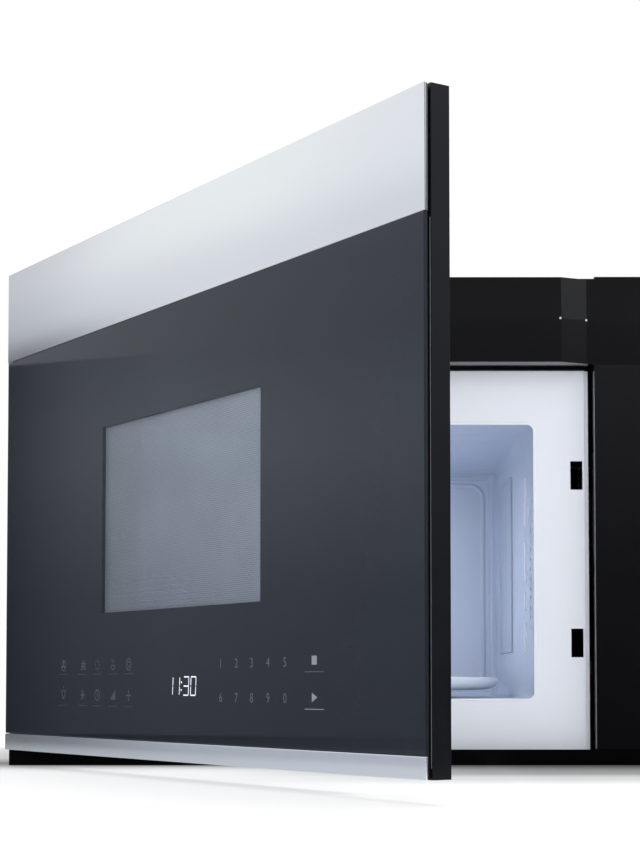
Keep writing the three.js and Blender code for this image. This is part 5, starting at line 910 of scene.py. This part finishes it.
def stage_floor():
    """A pale floor, seen only from above, with a painted shadow that darkens it softly round the body's foot, and that
    turns white far off.

    What the picture shows of it is set directly. Other rays meet a plain pale floor, which lights the body.
    """
    m = Material("stage_floor")
    split = m.node("ShaderNodeSeparateXYZ", {0: m.coordinates})
    x, y = split.outputs["X"], split.outputs["Y"]
    beyond = [
        m.math("MAXIMUM", m.math("SUBTRACT", m.math("ABSOLUTE", value), half), 0.0)
        for value, half in ((x, FOOT_HALF_X), (y, FOOT_HALF_Y))
    ]
    reach = m.math("SQRT", m.math("ADD", m.math("POWER", beyond[0], 2.0), m.math("POWER", beyond[1], 2.0)))
    front = m.smooth(y, 1, 0, -0.32, -0.10)
    foot = m.node("ShaderNodeValToRGB", {0: m.math("DIVIDE", reach, m.ranged(front, 0.24, 0.4, 0, 1))})
    # The painted shadow's greys, by the share of its reach: from the body's foot outwards.
    elements = foot.color_ramp.elements
    foot.color_ramp.interpolation = "EASE"
    elements[0].position, elements[0].color = 0.0, (0.14, 0.14, 0.14, 1)
    elements[1].position, elements[1].color = 0.8, (1, 1, 1, 1)
    for spot, grey in ((0.30, 0.36), (0.5, 0.68)):
        elements.new(spot).color = (grey, grey, grey, 1)
    # The painted shadow stays clear under the open door, and is half as strong beside the body and behind it.
    under_door = m.math("MULTIPLY", m.smooth(x, 1, 0, -0.18, 0.12), front)
    aside = m.smooth(y, 0, 0.5, -0.19, 0.0)
    tone = m.blend(m.math("MAXIMUM", under_door, aside), foot.outputs[0], (1, 1, 1))
    pale = m.blend(m.ranged(m.noise(3), 0, 1), (0.86, 0.86, 0.865), (0.88, 0.88, 0.885))
    near = m.node("ShaderNodeMix", data_type="RGBA", blend_type="MULTIPLY")
    near.inputs[0].default_value = 1.0
    m.tree.links.new(tone, near.inputs[6])
    near.inputs[7].default_value = (0.38, 0.38, 0.382, 1)
    seen, shown = shown_rays(m)
    m.set(Base_Color=m.blend(shown, pale, near.outputs[2]), Roughness=0.9, Specular_IOR_Level=0.1)
    # Under the body the floor also glows for diffuse rays, a hidden light for the body's underside.
    below_body = m.math("MULTIPLY", m.math("LESS_THAN", reach, 0.0001), seen.outputs["Is Diffuse Ray"])
    strength = m.math("ADD", m.math("MULTIPLY", shown, 0.64), m.math("MULTIPLY", below_body, 0.3))
    glow = m.node("ShaderNodeEmission", {"Color": m.blend(shown, (1, 1, 1), tone), "Strength": strength})
    both = m.node("ShaderNodeAddShader", {0: m.shader.outputs[0], 1: glow.outputs[0]})
    spread = m.math("SQRT", m.math("ADD", m.math("POWER", x, 2.0), m.math("POWER", y, 2.0)))
    far = m.node("ShaderNodeMapRange", {"Value": spread, "From Min": 0.8, "From Max": 1.9},
                 interpolation_type="SMOOTHSTEP")
    white = m.node("ShaderNodeEmission", {"Color": (1, 1, 1, 1), "Strength": 1.0})
    faded = m.node("ShaderNodeMixShader", {
        0: m.math("MULTIPLY", far.outputs[0], shown), 1: both.outputs[0], 2: white.outputs[0],
    })
    below = m.node("ShaderNodeMixShader", {
        0: m.node("ShaderNodeNewGeometry").outputs["Backfacing"],
        1: faded.outputs[0],
        2: m.node("ShaderNodeBsdfTransparent").outputs[0],
    })
    m.tree.links.new(below.outputs[0], surface_socket(m))
    made = stage_grid("stage_floor", 4, FLOOR_WIDTH, FLOOR_WIDTH, m, Matrix.Translation((0, 0, -0.0008)))


def reflection_card(name, centre, direction, width, height, up_stops, side_stops=((0.0, 1.0),), fade=0.82,
                    tint=(0.98, 0.99, 1.02)):
    """A card that only reflections show.

    Its grey is the product of two ramps, by stops of (share of the height or width, grey). From the share fade of
    the width outwards, it turns to white.
    """
    m = Material(name)
    split = m.node("ShaderNodeSeparateXYZ", {0: m.coordinates})

    def ramp(value, size, stops):
        made = m.node("ShaderNodeValToRGB", {0: m.ranged(value, 0, 1, -size / 2, size / 2)})
        elements = made.color_ramp.elements
        while len(elements) > 1:
            elements.remove(elements[-1])
        for n, (spot, grey) in enumerate(stops):
            element = elements[0] if n == 0 else elements.new(spot)
            element.position = spot
            element.color = (*(min(1.0, grey * part) for part in tint), 1)
        return made.outputs[0]

    grey = m.node("ShaderNodeMix", data_type="RGBA", blend_type="MULTIPLY")
    grey.inputs[0].default_value = 1.0
    m.tree.links.new(ramp(split.outputs["Y"], height, up_stops), grey.inputs[6])
    m.tree.links.new(ramp(split.outputs["X"], width, side_stops), grey.inputs[7])
    edge = m.node("ShaderNodeMapRange", {
        "Value": m.math("ABSOLUTE", split.outputs["X"]),
        "From Min": width * fade / 2, "From Max": width * 0.5, "To Min": 0.0, "To Max": 1.0,
    }, interpolation_type="SMOOTHSTEP").outputs[0]
    glow = m.node("ShaderNodeEmission", {"Color": m.blend(edge, grey.outputs[2], (1, 1, 1)), "Strength": 1.0})
    m.tree.links.new(glow.outputs[0], surface_socket(m))
    turned = Vector(direction).to_track_quat("Z", "Y").to_matrix().to_4x4()
    made = stage_grid(name, 2, width, height, m, Matrix.Translation(centre) @ turned)
    made.visible_camera = False
    made.visible_diffuse = False
    made.visible_shadow = False
    made.visible_transmission = False


def area_light(name, spot, target, size, power):
    light = bpy.data.lights.new(name, "AREA")
    light.shape = "SQUARE"
    light.size = size
    light.energy = power
    made = bpy.data.objects.new(name, light)
    made.location = spot
    made.rotation_euler = (Vector(target) - Vector(spot)).to_track_quat("-Z", "Y").to_euler()
    made.visible_camera = False
    made.visible_glossy = False
    bpy.context.scene.collection.objects.link(made)


def studio_world():
    world = bpy.data.worlds.new("studio")
    bpy.context.scene.world = world
    world.use_nodes = True
    tree = world.node_tree
    for node in list(tree.nodes):
        tree.nodes.remove(node)
    seen = tree.nodes.new("ShaderNodeLightPath")
    first = tree.nodes.new("ShaderNodeMath")
    first.operation = "MAXIMUM"
    tree.links.new(seen.outputs["Is Camera Ray"], first.inputs[0])
    tree.links.new(seen.outputs["Is Glossy Ray"], first.inputs[1])
    second = tree.nodes.new("ShaderNodeMath")
    second.operation = "MAXIMUM"
    tree.links.new(first.outputs[0], second.inputs[0])
    tree.links.new(seen.outputs["Is Transmission Ray"], second.inputs[1])
    light = tree.nodes.new("ShaderNodeBackground")
    light.inputs["Color"].default_value = (0.97, 0.985, 1.0, 1)
    light.inputs["Strength"].default_value = 0.68
    white = tree.nodes.new("ShaderNodeBackground")
    white.inputs["Color"].default_value = (1, 1, 1, 1)
    white.inputs["Strength"].default_value = 1.0
    mix = tree.nodes.new("ShaderNodeMixShader")
    tree.links.new(second.outputs[0], mix.inputs[0])
    tree.links.new(light.outputs[0], mix.inputs[1])
    tree.links.new(white.outputs[0], mix.inputs[2])
    output = tree.nodes.new("ShaderNodeOutputWorld")
    tree.links.new(mix.outputs[0], output.inputs["Surface"])


stage_floor()
# Dark cards behind the camera and on the right, for the black covers. To the left of the door, cards that turn
# lighter towards the camera, for the steel band, the glass and the steel strip. On a card that faces up, the stops
# run against Y and X.
reflection_card("front_card", (0.6, -2.3, 1.35), (0, 1, 0), 5.6, 2.7,
                [(0.0, 0.02), (0.13, 0.10), (0.26, 0.30), (0.33, 0.24), (0.42, 0.22), (0.6, 0.2), (1.0, 1.0)])
reflection_card("front_floor_card", (1.7, -1.2, CARD_LIFT), (0, 0, 1), 3.2, 2.1, [(0.0, 0.03), (1.0, 0.02)],
                fade=0.98)
reflection_card("right_card", (2.6, -1.2, 1.35), (-1, 0, 0), 3.6, 2.7,
                [(0.0, 0.02), (0.12, 0.10), (0.3, 0.45), (0.7, 0.8), (1.0, 1.0)])
reflection_card("left_upper_card", (LEFT_X, LEFT_Y, 1.163), (1, 0, 0), LEFT_LENGTH, 1.275,
                [(0.0, 0.78), (0.08, 0.84), (0.14, 1.0), (1.0, 1.0)],
                [(0.0, 0.9), (0.3, 0.9), (0.37, 1.0), (0.48, 1.0), (0.53, 0.97), (0.56, 0.72), (0.62, 0.6), (1.0, 0.6)],
                tint=(0.955, 0.985, 1.04))
reflection_card("left_lower_card", (LEFT_X, LEFT_Y, 0.2625), (1, 0, 0), LEFT_LENGTH, 0.525,
                [(0.0, 0.36), (0.36, 0.47), (0.72, 0.98), (0.82, 0.96), (1.0, 0.78)],
                [(0.0, 1.0), (0.32, 0.96), (0.38, 1.0), (0.45, 0.95), (0.5, 0.6), (0.535, 0.2), (0.57, 0.12),
                 (1.0, 0.12)],
                tint=(0.945, 0.98, 1.045))
reflection_card("left_floor_card", (LEFT_X / 2, LEFT_Y, CARD_LIFT), (0, 0, 1), -LEFT_X, LEFT_LENGTH,
                [(0.0, 0.05), (0.5, 0.10), (0.553, 0.13), (0.605, 0.28), (0.663, 0.42), (0.775, 0.58), (1.0, 0.65)],
                [(0.0, 1.0), (0.56, 1.0), (0.66, 0.6), (1.0, 0.5)], fade=0.98, tint=(0.96, 0.99, 1.03))
area_light("overhead", (0.1, 0.9, 3.0), (0, 0.1, 0), 2.4, 75)
area_light("key", (-0.6, -4.0, 1.0), (0, -0.2, 0.2), 3.0, 64)
area_light("low_fill", (0.45, -2.3, 0.20), (0.15, -0.2, 0.3), 0.9, 13)
area_light("cavity_glow", (-0.09, -0.07, 0.286), (-0.07, -0.05, 0.05), 0.16, 0.9)
studio_world()

camera = bpy.data.objects.new("camera", bpy.data.cameras.new("camera"))
bpy.context.scene.collection.objects.link(camera)
camera.location = CAMERA_SPOT
camera.rotation_euler = (math.radians(90 + CAMERA_PITCH), 0, 0)
camera.data.lens = 77.925
camera.data.sensor_width = 36
camera.data.shift_y = 0.2
camera.data.clip_start = 0.05
camera.data.clip_end = 60
bpy.context.scene.camera = camera

bpy.context.scene.view_settings.view_transform = "Standard"
